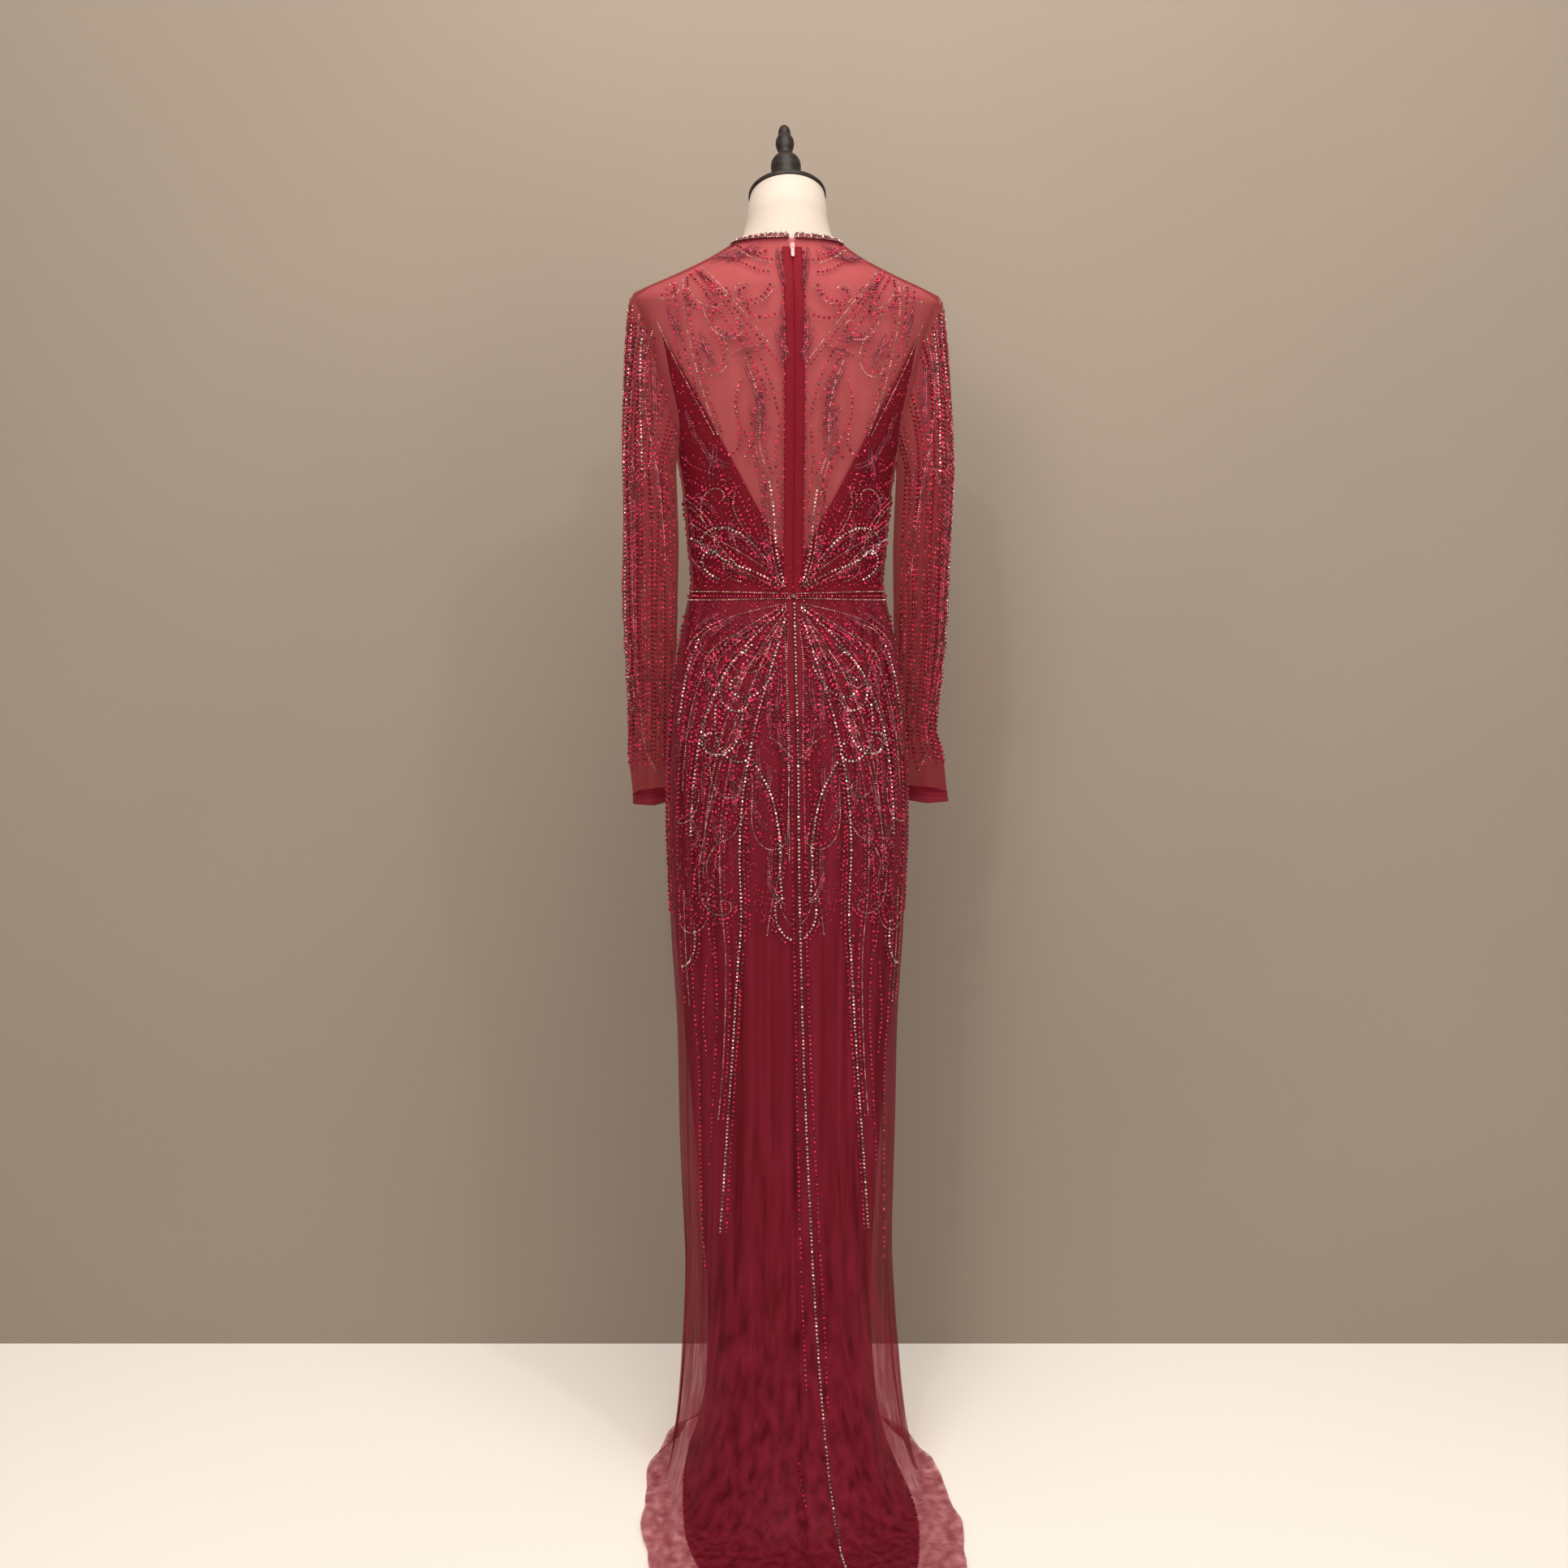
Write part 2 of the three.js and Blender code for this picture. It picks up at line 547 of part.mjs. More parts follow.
// The side seam keeps near the stand while the train's widest point lies further back
function sideSeamAngle(ring) {
  const forward = SIDE_SEAM_PULL * ring.mid - ring.mid;
  const cosine = (forward / (ring.ahead - ring.mid)) ** (HEM_POWER / 2);
  return Math.PI - Math.acos(cosine);
}

function skirtPanel(name, panel, columns, look, layer) {
  const hips = HIP_ROWS.map((z) => ({ face: (angle) => bodyPoint(angle, z, layer.inset), side: QUARTER }));
  const lower = layer.rings.map((ring) => ({
    face: (angle) => layer.face(ring, angle),
    side: sideSeamAngle(ring),
  }));
  const outer = [...hips, ...lower].map(({ face, side }) => {
    const low = { front: side, right: 0, left: -side }[panel];
    const high = { front: 2 * Math.PI - side, right: side, left: 0 }[panel];
    const from = angleBeside(face, low, SEAM / 2);
    const to = angleBeside(face, high, -SEAM / 2);
    return Array.from({ length: columns + 1 }, (_, column) => face(mix(from, to, column / columns)));
  });
  return clothMesh(name, outer, layer.thickness, look, { floor: true, outward: -1 });
}

// Sleeve: the cap runs from the armhole to the first ring of the table
function armholePositions() {
  const heights = BODICE_ROWS.filter((z) => z >= UNDERARM);
  const middle = (UNDERARM + SHOULDER_TIP) / 2;
  const reach = (SHOULDER_TIP - UNDERARM) / 2;
  const back = heights.map((z) => Math.acos((z - middle) / reach)).reverse();
  return [...back, ...back.slice(1, -1).reverse().map((position) => 2 * Math.PI - position)];
}

function armholeEdge(position, raised = 0) {
  const z = mix(UNDERARM, SHOULDER_TIP, (1 + Math.cos(position)) / 2);
  const column = Math.sin(position) >= 0 ? "back" : "front";
  return bodyPoint(armholeAngle(z, column), z, -raised);
}

function sleeveRing(row, position) {
  const half = (row.outer - row.inner) / 2;
  return new THREE.Vector3(
    row.inner + half + half * Math.cos(position),
    row.centre - row.depth * Math.sin(position),
    row.z,
  );
}

// One line of the cap: it leaves the armhole in the bodice's own plane and turns down
function sleeveCap(rows, position) {
  const step = 0.05;
  const start = armholeEdge(position);
  const normal = armholeEdge(position, 1).sub(start);
  const around = armholeEdge(position + step).sub(armholeEdge(position - step));
  const seamward = normal.cross(around).normalize();
  start.addScaledVector(seamward, SLEEVE_GAP);
  const end = sleeveRing(rows[0], position);
  const length = start.distanceTo(end) * CAP_PULL;
  const open = (1 + Math.cos(position)) / 2;
  const leave = seamward.multiplyScalar(length * open);
  const arrive = new THREE.Vector3(0, 0, -length);
  return Array.from({ length: CAP_ROWS }, (_, row) => {
    const t = row / CAP_ROWS;
    return start.clone().multiplyScalar((1 + 2 * t) * (1 - t) ** 2)
      .addScaledVector(leave, t * (1 - t) ** 2)
      .addScaledVector(end, t * t * (3 - 2 * t))
      .addScaledVector(arrive, t * t * (t - 1));
  });
}

function sleeveMesh(name, turn, look) {
  const rows = turn > 0 ? SLEEVES.right : SLEEVES.left;
  const outer = Array.from({ length: CAP_ROWS + rows.length }, () => []);
  for (const position of armholePositions()) {
    const points = [...sleeveCap(rows, position), ...rows.map((row) => sleeveRing(row, position))];
    points.forEach((point, row) => {
      point.x *= turn;
      outer[row].push(point);
    });
  }
  return clothMesh(name, outer, NET, look, { around: true, outward: turn });
}

// Dress form
function formInset(z) {
  const share = THREE.MathUtils.smoothstep(z, FORM_INSET.from, FORM_INSET.to);
  return mix(FORM_INSET.body, FORM_INSET.shoulder, share);
}

function formTorso() {
  const angles = Array.from({ length: FORM_COLUMNS }, (_, i) => (2 * Math.PI * i) / FORM_COLUMNS);
  const rings = FORM_ROWS.map((z) => angles.map((angle) => bodyPoint(angle, z, formInset(z))));
  for (const share of NECK_SHARES) {
    rings.push(angles.map((angle) => {
      const z = mix(SHOULDER_TIP, neckTop(angle) - FORM_TUCK.drop, share);
      return bodyPoint(angle, z, FORM_INSET.shoulder + share * FORM_TUCK.depth);
    }));
  }
  for (const ring of NECK_RINGS) {
    rings.push(angles.map((angle) => {
      const point = ringPoint(ring, angle, 2);
      const half = Math.cos(angle);
      point.z = ring.side + half * (half > 0 ? ring.back - ring.side : ring.side - ring.front);
      return point;
    }));
  }
  return loftMesh("form_torso", rings, material(COLOURS.cloth, 0.9));
}

function latheMesh(name, profile, segments, look) {
  const points = profile.map(([radius, height]) => new THREE.Vector2(radius, height));
  const geometry = new THREE.LatheGeometry(points, segments);
  geometry.rotateX(QUARTER);
  const mesh = new THREE.Mesh(geometry, look);
  mesh.name = name;
  return mesh;
}

// Cap and finial share one axis, which leans towards the front
function capGroup() {
  const group = new THREE.Group();
  group.position.z = CAP.height;
  group.rotation.x = -CAP.tilt;
  const wood = material(COLOURS.wood, 0.4);
  group.add(latheMesh("form_neck_cap", CAP_PROFILE, 32, wood));
  group.add(latheMesh("form_finial", finialProfile(), 16, wood));
  return group;
}

function finialProfile() {
  const curve = new THREE.SplineCurve(FINIAL.map(([radius, height]) => new THREE.Vector2(radius, height)));
  const side = curve.getPoints(FINIAL_STEPS).map((point) => [point.x, point.y]);
  return [[0, FINIAL[0][1]], ...side, [0, FINIAL[FINIAL.length - 1][1]]];
}

function standMeshes() {
  const steel = material(COLOURS.pole, 0.35, 0.6);
  const { radius, thickness, bevel, segments } = PLATE;
  const plate = latheMesh("form_base", [
    [0, 0], [radius - 1, 0], [radius, 1], [radius, thickness - bevel],
    [radius - bevel, thickness], [0, thickness],
  ], segments, steel);
  const pole = latheMesh("form_pole", [
    [0, thickness + SEAM], [POLE.radius, thickness + SEAM],
    [POLE.radius, FORM_ROWS[0] - SEAM], [0, FORM_ROWS[0] - SEAM],
  ], POLE.segments, steel);
  return [plate, pole];
}

// Slider and pull tab: drawn lying on the cloth, then turned with the slope of the back
function solidOf(geometry) {
  const bare = geometry.index ? geometry.toNonIndexed() : geometry.clone();
  bare.deleteAttribute("normal");
  bare.deleteAttribute("uv");
  const merged = mergeVertices(bare, 1e-4);
  return new wasm.Manifold(new wasm.Mesh({
    numProp: 3,
    vertProperties: new Float32Array(merged.attributes.position.array),
    triVerts: new Uint32Array(merged.index.array),
  }));
}

function geometryOf(solid) {
  const mesh = solid.getMesh();
  const geometry = new THREE.BufferGeometry();
  geometry.setAttribute("position", new THREE.BufferAttribute(new Float32Array(mesh.vertProperties), 3));
  geometry.setIndex(new THREE.BufferAttribute(new Uint32Array(mesh.triVerts), 1));
  return geometry;
}

function boxAt(width, depth, height, x, y, z) {
  const geometry = new THREE.BoxGeometry(width, depth, height);
  geometry.translate(x, y, z);
  return geometry;
}

function sliderMesh(look) {
  const { width, length, thickness } = SLIDER;
  const { reach, rise, wire } = BAIL;
  const plate = boxAt(width, thickness, length, 0, -thickness / 2, 0);
  const top = -thickness - rise;
  const bridge = boxAt(BAIL.width, wire, 2 * reach, 0, top + wire / 2, 0);
  const legDepth = rise + thickness / 2;
  const legY = top + legDepth / 2;
  const legs = [1, -1].map((side) =>
    boxAt(BAIL.width, legDepth, wire, 0, legY, side * (reach - wire / 2)));
  let solid = solidOf(plate).add(solidOf(bridge));
  for (const leg of legs) solid = solid.add(solidOf(leg));
  const mesh = new THREE.Mesh(geometryOf(solid), look);
  mesh.name = "zip_slider";
  return mesh;
}

function tabMesh(look) {
  const half = TAB.width / 2;
  const outline = new THREE.Shape();
  outline.moveTo(-TAB.neck / 2, TAB.bar);
  outline.lineTo(TAB.neck / 2, TAB.bar);
  outline.lineTo(half, -TAB.length + half);
  outline.absarc(0, -TAB.length + half, half, 0, -Math.PI, true);
  outline.closePath();
  const eye = new THREE.Path();
  eye.moveTo(-TAB.eyeWidth / 2, -TAB.bar);
  eye.lineTo(-TAB.eyeWidth / 2, -TAB.eyeEnd);
  eye.lineTo(TAB.eyeWidth / 2, -TAB.eyeEnd);
  eye.lineTo(TAB.eyeWidth / 2, -TAB.bar);
  eye.closePath();
  outline.holes.push(eye);
  const geometry = new THREE.ExtrudeGeometry(outline, {
    depth: TAB.thickness, bevelEnabled: false, curveSegments: 10,
  });
  geometry.translate(0, 0, -TAB.thickness / 2);
  geometry.rotateX(QUARTER);
  const mesh = new THREE.Mesh(geometry, look);
  mesh.name = "zip_pull_tab";
  mesh.position.y = -SLIDER.thickness - TAB_AXIS;
  return mesh;
}

function zipGroup() {
  const low = bodyFace(0, SLIDER.height - SLIDER.length / 2);
  const high = bodyFace(0, SLIDER.height + SLIDER.length / 2);
  const slope = Math.atan2(high.y - low.y, high.z - low.z);
  const group = new THREE.Group();
  const lift = SLIDER.lift / Math.cos(slope);
  group.position.set(0, (low.y + high.y) / 2 - lift, SLIDER.height);
  group.rotation.x = -slope;
  const look = material(COLOURS.metal, 0.35, 0.3);
  group.add(sliderMesh(look), tabMesh(look));
  return group;
}

function dressGroup() {
  const net = material(COLOURS.net, 0.8);
  const satin = material(COLOURS.satin, 0.7);
  const sleeve = material(COLOURS.sleeve, 0.8);
  const band = material(COLOURS.band, 0.6);
  const netLayer = { rings: NET_RINGS, inset: 0, thickness: NET, face: netFace };
  const satinLayer = {
    rings: SATIN_RINGS, inset: LINING_INSET, thickness: SATIN,
    face: (ring, angle) => ringPoint(ring, angle, ring.side < HEM_FROM ? HEM_POWER : SKIRT_POWER),
  };
  const group = new THREE.Group();
  group.add(bodicePanel("bodice_front", "front", 2 * PANEL_COLUMNS, net));
  group.add(liningPanel("bodice_lining_front", "front", 2 * PANEL_COLUMNS, satin));
  group.add(skirtPanel("skirt_net_front", "front", SKIRT_COLUMNS.netFront, net, netLayer));
  group.add(skirtPanel("skirt_lining_front", "front", SKIRT_COLUMNS.satinFront, satin, satinLayer));
  for (const [side, turn] of [["left", -1], ["right", 1]]) {
    group.add(bodicePanel(`bodice_back_${side}`, side, PANEL_COLUMNS, net));
    group.add(liningPanel(`bodice_lining_back_${side}`, side, PANEL_COLUMNS, satin));
    group.add(neckBand(`neck_binding_${side}`, turn, band));
    group.add(tapeMesh(`zip_tape_${side}`, turn, satin));
    group.add(skirtPanel(`skirt_net_back_${side}`, side, SKIRT_COLUMNS.netBack, net, netLayer));
    group.add(skirtPanel(`skirt_lining_back_${side}`, side, SKIRT_COLUMNS.satinBack, satin, satinLayer));
    group.add(sleeveMesh(`sleeve_${side}`, turn, sleeve));
  }
  return group;
}

const model = new THREE.Group();
model.add(formTorso(), capGroup(), ...standMeshes(), dressGroup(), zipGroup());

export default model;
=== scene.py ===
"""Beaded evening dress on its form: cloth, beads, zip, stand and stage, for Blender 4.5."""

import math

import bpy
import numpy as np
from bpy.props import FloatProperty, FloatVectorProperty, IntProperty, PointerProperty
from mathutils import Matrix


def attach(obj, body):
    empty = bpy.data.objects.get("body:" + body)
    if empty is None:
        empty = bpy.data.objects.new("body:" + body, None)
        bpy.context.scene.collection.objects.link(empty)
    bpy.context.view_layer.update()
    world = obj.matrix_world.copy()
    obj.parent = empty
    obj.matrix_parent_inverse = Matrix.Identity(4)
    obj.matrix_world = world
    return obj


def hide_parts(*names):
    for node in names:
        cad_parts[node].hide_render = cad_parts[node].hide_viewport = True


bl_info = {
    "name": "Beaded Evening Dress",
    "version": (1, 0, 0),
    "blender": (4, 5, 0),
    "location": "3D View > Sidebar > Dress",
    "description": "Builds a beaded net evening dress, its form and a plain studio",
    "category": "Object",
}

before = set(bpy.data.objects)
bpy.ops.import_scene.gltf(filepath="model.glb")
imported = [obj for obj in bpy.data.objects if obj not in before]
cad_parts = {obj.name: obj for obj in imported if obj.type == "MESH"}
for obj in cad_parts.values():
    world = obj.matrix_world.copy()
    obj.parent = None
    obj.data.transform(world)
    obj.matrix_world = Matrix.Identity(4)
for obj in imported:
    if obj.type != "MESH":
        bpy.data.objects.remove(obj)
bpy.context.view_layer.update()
MM = 0.001

# Body sections of the net's outer face: height, half width, back, front, power of the curve
BODY = np.array([
    (745, 147, 117, 108, 2.15), (806, 149, 120, 108, 2.15), (880, 148, 121, 107, 2.15),
    (958, 143, 113, 104, 2.1), (1000, 138, 105, 101, 2.1), (1047, 131, 93, 97, 2.1),
    (1077, 124, 84, 92, 2.1), (1093, 120.5, 80, 89, 2.1), (1107, 118, 79, 88, 2.1),
    (1166, 123, 84, 97, 2.1), (1225, 128.5, 90, 111, 2.15), (1256, 134, 93, 120, 2.2),
    (1290, 143, 96, 125, 2.2), (1350, 161, 99, 118, 2.2), (1400, 173, 96, 107, 2.1),
    (1425, 181, 93, 101, 2.0), (1448, 189, 88, 95, 1.9), (1460, 170, 83, 89, 1.8),
    (1471, 145, 78, 83, 1.75), (1483, 119, 72, 76, 1.7), (1494, 97, 67, 70, 1.7),
    (1505, 78, 62, 65, 1.8), (1516, 61, 58, 60, 2.0),
])

# Distance of the armhole seam from the centre: height, at the back, at the front
ARMHOLE = np.array([
    (1256, 134, 134), (1272, 134.4, 134), (1294, 134.6, 132.5), (1318, 138, 132),
    (1349, 145, 137), (1393, 153, 147), (1412, 160, 156), (1425, 167, 165),
    (1440, 181, 180), (1448, 189, 189),
])

WAIST = 1093
UNDERARM = 1256
SHOULDER_SHARE = 0.82   # share of a bodice panel's rows that lie below the shoulder tip
SHOULDER_TIP = 1448
SEAM = 0.3
NECK_TOP = {"back": 1516, "side": 1515, "front": 1468}
BAND = {"back": 6.5, "side": 3.7, "thickness": 2.0, "raise": 0.5, "slit": 3.5}
LINING = {
    "inset": 3.1, "top": 1400, "v_low": 1118, "v_slope": 1.82, "scoop": 28, "scoop_half": 135,
}
TAPE = {"inset": 1.9, "width": 12, "bottom": 925, "top": 1500}
TOOTH = {"pitch": 2.4, "length": 2.6, "radius": 0.55}
FORM = {
    "inset": 6.8, "shoulder": 2.6, "from": 1452, "to": 1490, "tuck": 1.2, "drop": 2, "bottom": 830,
}

# Skirt rings: heights at the front, side and back, half width, front, back, widest point
HIP_ROWS = (1093, 1065, 1030, 980, 925, 870, 810, 745)
NET_RINGS = (
    (684, 684, 684, 145, 108, 114, 0), (559, 559, 559, 138, 107, 111, -1),
    (497, 497, 497, 137, 107, 111, -2), (434, 434, 434, 136, 108, 113, -3),
    (307, 307, 307, 131, 111, 126, -8), (250, 250, 250, 129, 113, 137, -12),
    (200, 200, 200, 129, 115, 150, -17), (150, 150, 150, 131, 118, 167, -25),
    (100, 100, 100, 135, 122, 189, -35), (58, 60, 60, 140, 127, 211, -44),
    (27, 30, 33, 145, 132, 233, -52), (9, 11, 14, 150, 137, 256, -62),
    (1, 1, 1, 156, 141, 284, -75), (1, 1, 1, 166, 144, 340, -105),
    (1, 1, 1, 177, 147, 415, -140), (1, 1, 1, 184, 150, 486, -168),
)
SATIN_RINGS = (
    (684, 684, 684, 140, 104, 110, 0), (559, 559, 559, 129, 101, 105, -1),
    (434, 434, 434, 118, 99, 105, -3), (307, 307, 307, 108, 100, 115, -8),
    (200, 200, 200, 103, 103, 137, -17), (100, 100, 100, 108, 109, 173, -35),
    (35, 36, 38, 121, 114, 208, -50), (9, 10, 13, 132, 118, 232, -60),
    (1.2, 1.2, 1.2, 134, 121, 262, -72), (1.2, 1.2, 1.2, 137, 123, 335, -105),
    (1.2, 1.2, 1.2, 139, 125, 420, -145),
)
TRAIN_DROP = (1, -55, -130, -202)   # heights that stand for places along the train on the floor
SEAM_PULL = 0.35
SKIRT_POWER = 2.15
HEM_POWER = 2.3
HEM_FROM = 40
HEM_FOLD_SHARE = 0.9
RUCK_RINGS = (16, 19.5)
FLOOR_CLEAR = 1.8
FLOOR_REACH = (1.1, 1.24)

# Folds of the net: angle at the top and at the hem, half width, height, start, full depth
FOLDS = (
    (14, 24, 5, 5, 700, 330), (25, 38, 5, 6, 640, 260), (38, 52, 6, 7, 560, 220),
    (52, 67, 6, 8, 430, 170), (74, 84, 6, 7, 330, 120), (104, 106, 7, 6, 520, 180),
    (128, 127, 8, 7, 600, 200), (152, 150, 8, 6, 540, 220), (176, 176, 9, 7, 620, 200),
    (201, 204, 8, 6, 560, 220), (226, 229, 8, 7, 600, 200), (252, 251, 7, 6, 460, 170),
    (281, 274, 6, 7, 360, 130), (300, 291, 7, 6, 470, 190), (322, 311, 7, 5, 560, 240),
    (341, 334, 6, 4, 600, 300),
)

# Sleeve rings: height, inner side, outer side, centre, depth
SLEEVES = {
    "right": np.array([
        (1240, 134.6, 203, 2, 51), (1195, 133, 202, 5, 48), (1150, 132, 200, 8, 46),
        (1100, 133, 199, 14, 44), (1050, 135, 199, 24, 42), (1000, 137, 198, 40, 40),
        (950, 139, 195, 52, 38), (925, 141, 194, 56, 36), (895, 142, 203, 59, 36),
        (865, 142, 208, 61, 37), (841, 142, 211, 62, 38), (833, 142, 212, 62, 38),
    ]),
    "left": np.array([
        (1240, 134.6, 198, 2, 51), (1195, 133, 197, 5, 48), (1150, 132, 197, 8, 46),
        (1100, 133, 198, 14, 44), (1050, 134, 197, 24, 42), (1000, 136, 195, 40, 40),
        (950, 137, 194, 53, 38), (925, 138, 194, 58, 36), (895, 138, 195, 61, 35),
        (865, 138, 192, 63, 35), (841, 138, 190, 64, 35), (833, 138, 190, 64, 35),
    ]),
}
SLEEVE_TOP = 1240
SLEEVE_HEM = 833
CAP_PULL = 0.95
CUFF_SHARE = 0.034

# The form's neck above the bodice, then profiles of the turned pieces: radius, height
NECK_RINGS = (
    (1487, 1521, 1531, 53, 63, 50, 3), (1512, 1538, 1553, 49, 54, 45, 2),
    (1546.6, 1566.3, 1586, 45, 41, 41, 0),
)
CAP_AXIS = {"height": 1566.7, "tilt": 25.7}
CAP_PROFILE = (
    (0, 0), (30, 0), (45, 0.1), (46.2, 0.8), (46.5, 2), (46.5, 4), (46.2, 5.2), (45, 5.9),
    (30, 6), (0, 6),
)
FINIAL_PROFILE = (
    (0, 6.3), (19, 6.3), (18, 7.6), (16, 9), (14.8, 13), (14.5, 20), (16.5, 32), (18.2, 44),
    (17.8, 50), (16.2, 54), (12.8, 58.6), (9, 61.5), (8.1, 63.6), (8, 66), (10, 72),
    (11.3, 79), (11, 82.6), (10, 86), (8, 89), (7.6, 93), (7.2, 98), (5, 103), (2.6, 105),
    (0, 105.5),
)
PLATE_PROFILE = (
    (0, 0), (60, 0), (104, 0.1), (105, 1), (105, 4), (105, 7.6), (104.4, 9), (103, 9.9),
    (60, 10), (16, 10), (0, 10),
)
POLE_PROFILE = (
    (0, 10.3), (12.4, 10.3), (12.5, 11), (12.5, 400), (12.5, 829), (12.4, 829.7), (0, 829.7),
)


def smooth_columns(rows, place):
    """Columns of a table at a place in its first column, on a smooth curve without overshoot."""
    knots = rows[:, 0]
    values = rows[:, 1:]
    width = np.diff(knots)[:, None]
    slope = np.diff(values, axis=0) / width
    before, after = slope[:-1], slope[1:]
    total = np.where(np.abs(before + after) < 1e-12, 1, before + after)
    inner = np.where(before * after > 0, 2 * before * after / total, 0)
    tangent = np.vstack([slope[:1], inner, slope[-1:]])
    place = np.clip(np.asarray(place, float), knots[0], knots[-1])
    i = np.clip(np.searchsorted(knots, place) - 1, 0, len(knots) - 2)
    span = width[i, 0][..., None]
    t = (place - knots[i])[..., None] / span
    rise = t * t * (3 - 2 * t)
    bow = t * (1 - t) ** 2 * tangent[i] - t * t * (1 - t) * tangent[i + 1]
    return values[i] * (1 - rise) + values[i + 1] * rise + span * bow


def smooth_step(value, low, high):
    """Share from 0 at low to 1 at high, with soft ends."""
    t = np.clip((value - low) / (high - low), 0, 1)
    return t * t * (3 - 2 * t)


def unit(vectors):
    """Vectors made one long."""
    return vectors / np.linalg.norm(vectors, axis=-1, keepdims=True)


def section(angle, half, back, front, middle, power):
    """x and y on a rounded section; angle 0 is the centre back, a quarter turn the right side."""
    sine, cosine = np.sin(angle), np.cos(angle)
    bow = 2 / power
    reach = np.where(cosine > 0, -back - middle, front - middle)
    x = np.sign(sine) * half * np.abs(sine) ** bow
    return x, middle + reach * np.abs(cosine) ** bow


def body_face(angle, z):
    """Points of the body's outer face."""
    angle, z = np.broadcast_arrays(np.asarray(angle, float), np.asarray(z, float))
    half, back, front, power = np.moveaxis(smooth_columns(BODY, z), -1, 0)
    x, y = section(angle, half, back, front, 0, power)
    return np.stack([x, y, z], -1)


def body_point(angle, z, inset=0.0):
    """Points of the body's face, moved in along its normal."""
    step, rise = 0.02, 2.0
    around = body_face(angle + step, z) - body_face(angle - step, z)
    up = body_face(angle, z + rise) - body_face(angle, z - rise)
    return body_face(angle, z) - unit(np.cross(around, up)) * np.asarray(inset)[..., None]


def neck_top(angle):
    """Height of the neckline all round."""
    cosine = np.cos(angle)
    high = NECK_TOP["side"] + (NECK_TOP["back"] - NECK_TOP["side"]) * cosine ** 2
    low = NECK_TOP["side"] + (NECK_TOP["front"] - NECK_TOP["side"]) * np.abs(cosine) ** 3
    return np.where(cosine > 0, high, low)


def band_bottom(angle):
    """Height where the net ends under the neckline band."""
    return neck_top(angle) - (BAND["side"] + (BAND["back"] - BAND["side"]) * np.cos(angle) ** 2)


def armhole_angle(z, side):
    """Angle of the armhole seam at a height, at the back or the front."""
    column = 0 if side == "back" else 1
    half, _, _, power = np.moveaxis(smooth_columns(BODY, z), -1, 0)
    share = np.minimum(1, smooth_columns(ARMHOLE, z)[..., column] / half)
    angle = np.arcsin(share ** (power / 2))
    return angle if side == "back" else math.pi - angle


def skirt_rows(rings, inset):
    """Rings of a skirt layer from waist to hem, each led by its number in the row."""
    rows = []
    for z in HIP_ROWS:
        half, back, front, power = smooth_columns(BODY, z)
        rows.append((z, z, z, half - inset, front - inset, back - inset, 0, power, 90))
    for front_z, side_z, back_z, half, ahead, behind, middle in rings:
        power = HEM_POWER if side_z < HEM_FROM else SKIRT_POWER
        pull = middle * (SEAM_PULL - 1) / (ahead - middle)
        seam = 180 - math.degrees(math.acos(pull ** (HEM_POWER / 2)))
        rows.append((front_z, side_z, back_z, half, ahead, behind, middle, power, seam))
    return np.array([(number, *row) for number, row in enumerate(rows)], float)


NET_ROWS = skirt_rows(NET_RINGS, 0)
SATIN_ROWS = skirt_rows(SATIN_RINGS, LINING["inset"])


def fold_height(angle, z):
    """How far the net's soft folds stand out, in millimetres."""
    degrees = np.degrees(angle) % 360
    height = np.zeros(np.broadcast(angle, z).shape)
    for top, hem, width, depth, start, full in FOLDS:
        grown = smooth_step(start - z, 0, start - full)
        place = hem + (top - hem) * np.clip(z / start, 0, 1)
        away = (degrees - place + 180) % 360 - 180
        height = height + depth * grown * np.exp(-((away / width) ** 2))
    return height


def small_folds(angle, z):
    """Fine uneven drapes between the main folds, deeper towards the hem."""
    grown = smooth_step(620 - z, 0, 420)
    drift = z * 0.004
    wave = np.sin(19 * angle + 0.7 + drift) + 0.7 * np.sin(31 * angle - 1.3 - 0.6 * drift)
    return grown * (0.8 * wave + 0.5 * np.sin(47 * angle + 2.0 * drift))


def net_face(t, angle):
    """Points of the net skirt's outer face: t counts the rings from the waist."""
    t, angle = np.broadcast_arrays(np.asarray(t, float), np.asarray(angle, float))
    row = np.moveaxis(smooth_columns(NET_ROWS, t), -1, 0)
    front_z, side_z, back_z, half, ahead, behind, middle, power, _ = row
    x, y = section(angle, half, behind, ahead, middle, power)
    z = side_z + (np.where(np.cos(angle) > 0, back_z, front_z) - side_z) * np.cos(angle) ** 2
    out = unit(np.stack([x, y - middle], -1))
    folds = fold_height(angle, side_z)
    low = side_z < HEM_FROM
    push = np.where(low, HEM_FOLD_SHARE, 1.0) * folds + small_folds(angle, side_z)
    x = x + out[..., 0] * push
    y = y + out[..., 1] * push
    hem = SATIN_RINGS[-1]
    depth = np.where(y < hem[6], hem[5] + hem[6], hem[4] - hem[6])
    reach = np.hypot(x / hem[3], (y - hem[6]) / depth)
    floor = 1 + FLOOR_CLEAR * (1 - smooth_step(reach, *FLOOR_REACH))
    wave = 0.9 * (1 + np.sin(9 * angle + y * 0.05))
    ruck = smooth_step(t, *RUCK_RINGS) * (0.45 * folds + wave)
    z = np.where(low, np.maximum(z, floor + ruck), z)
    return np.stack([x, y, z], -1)


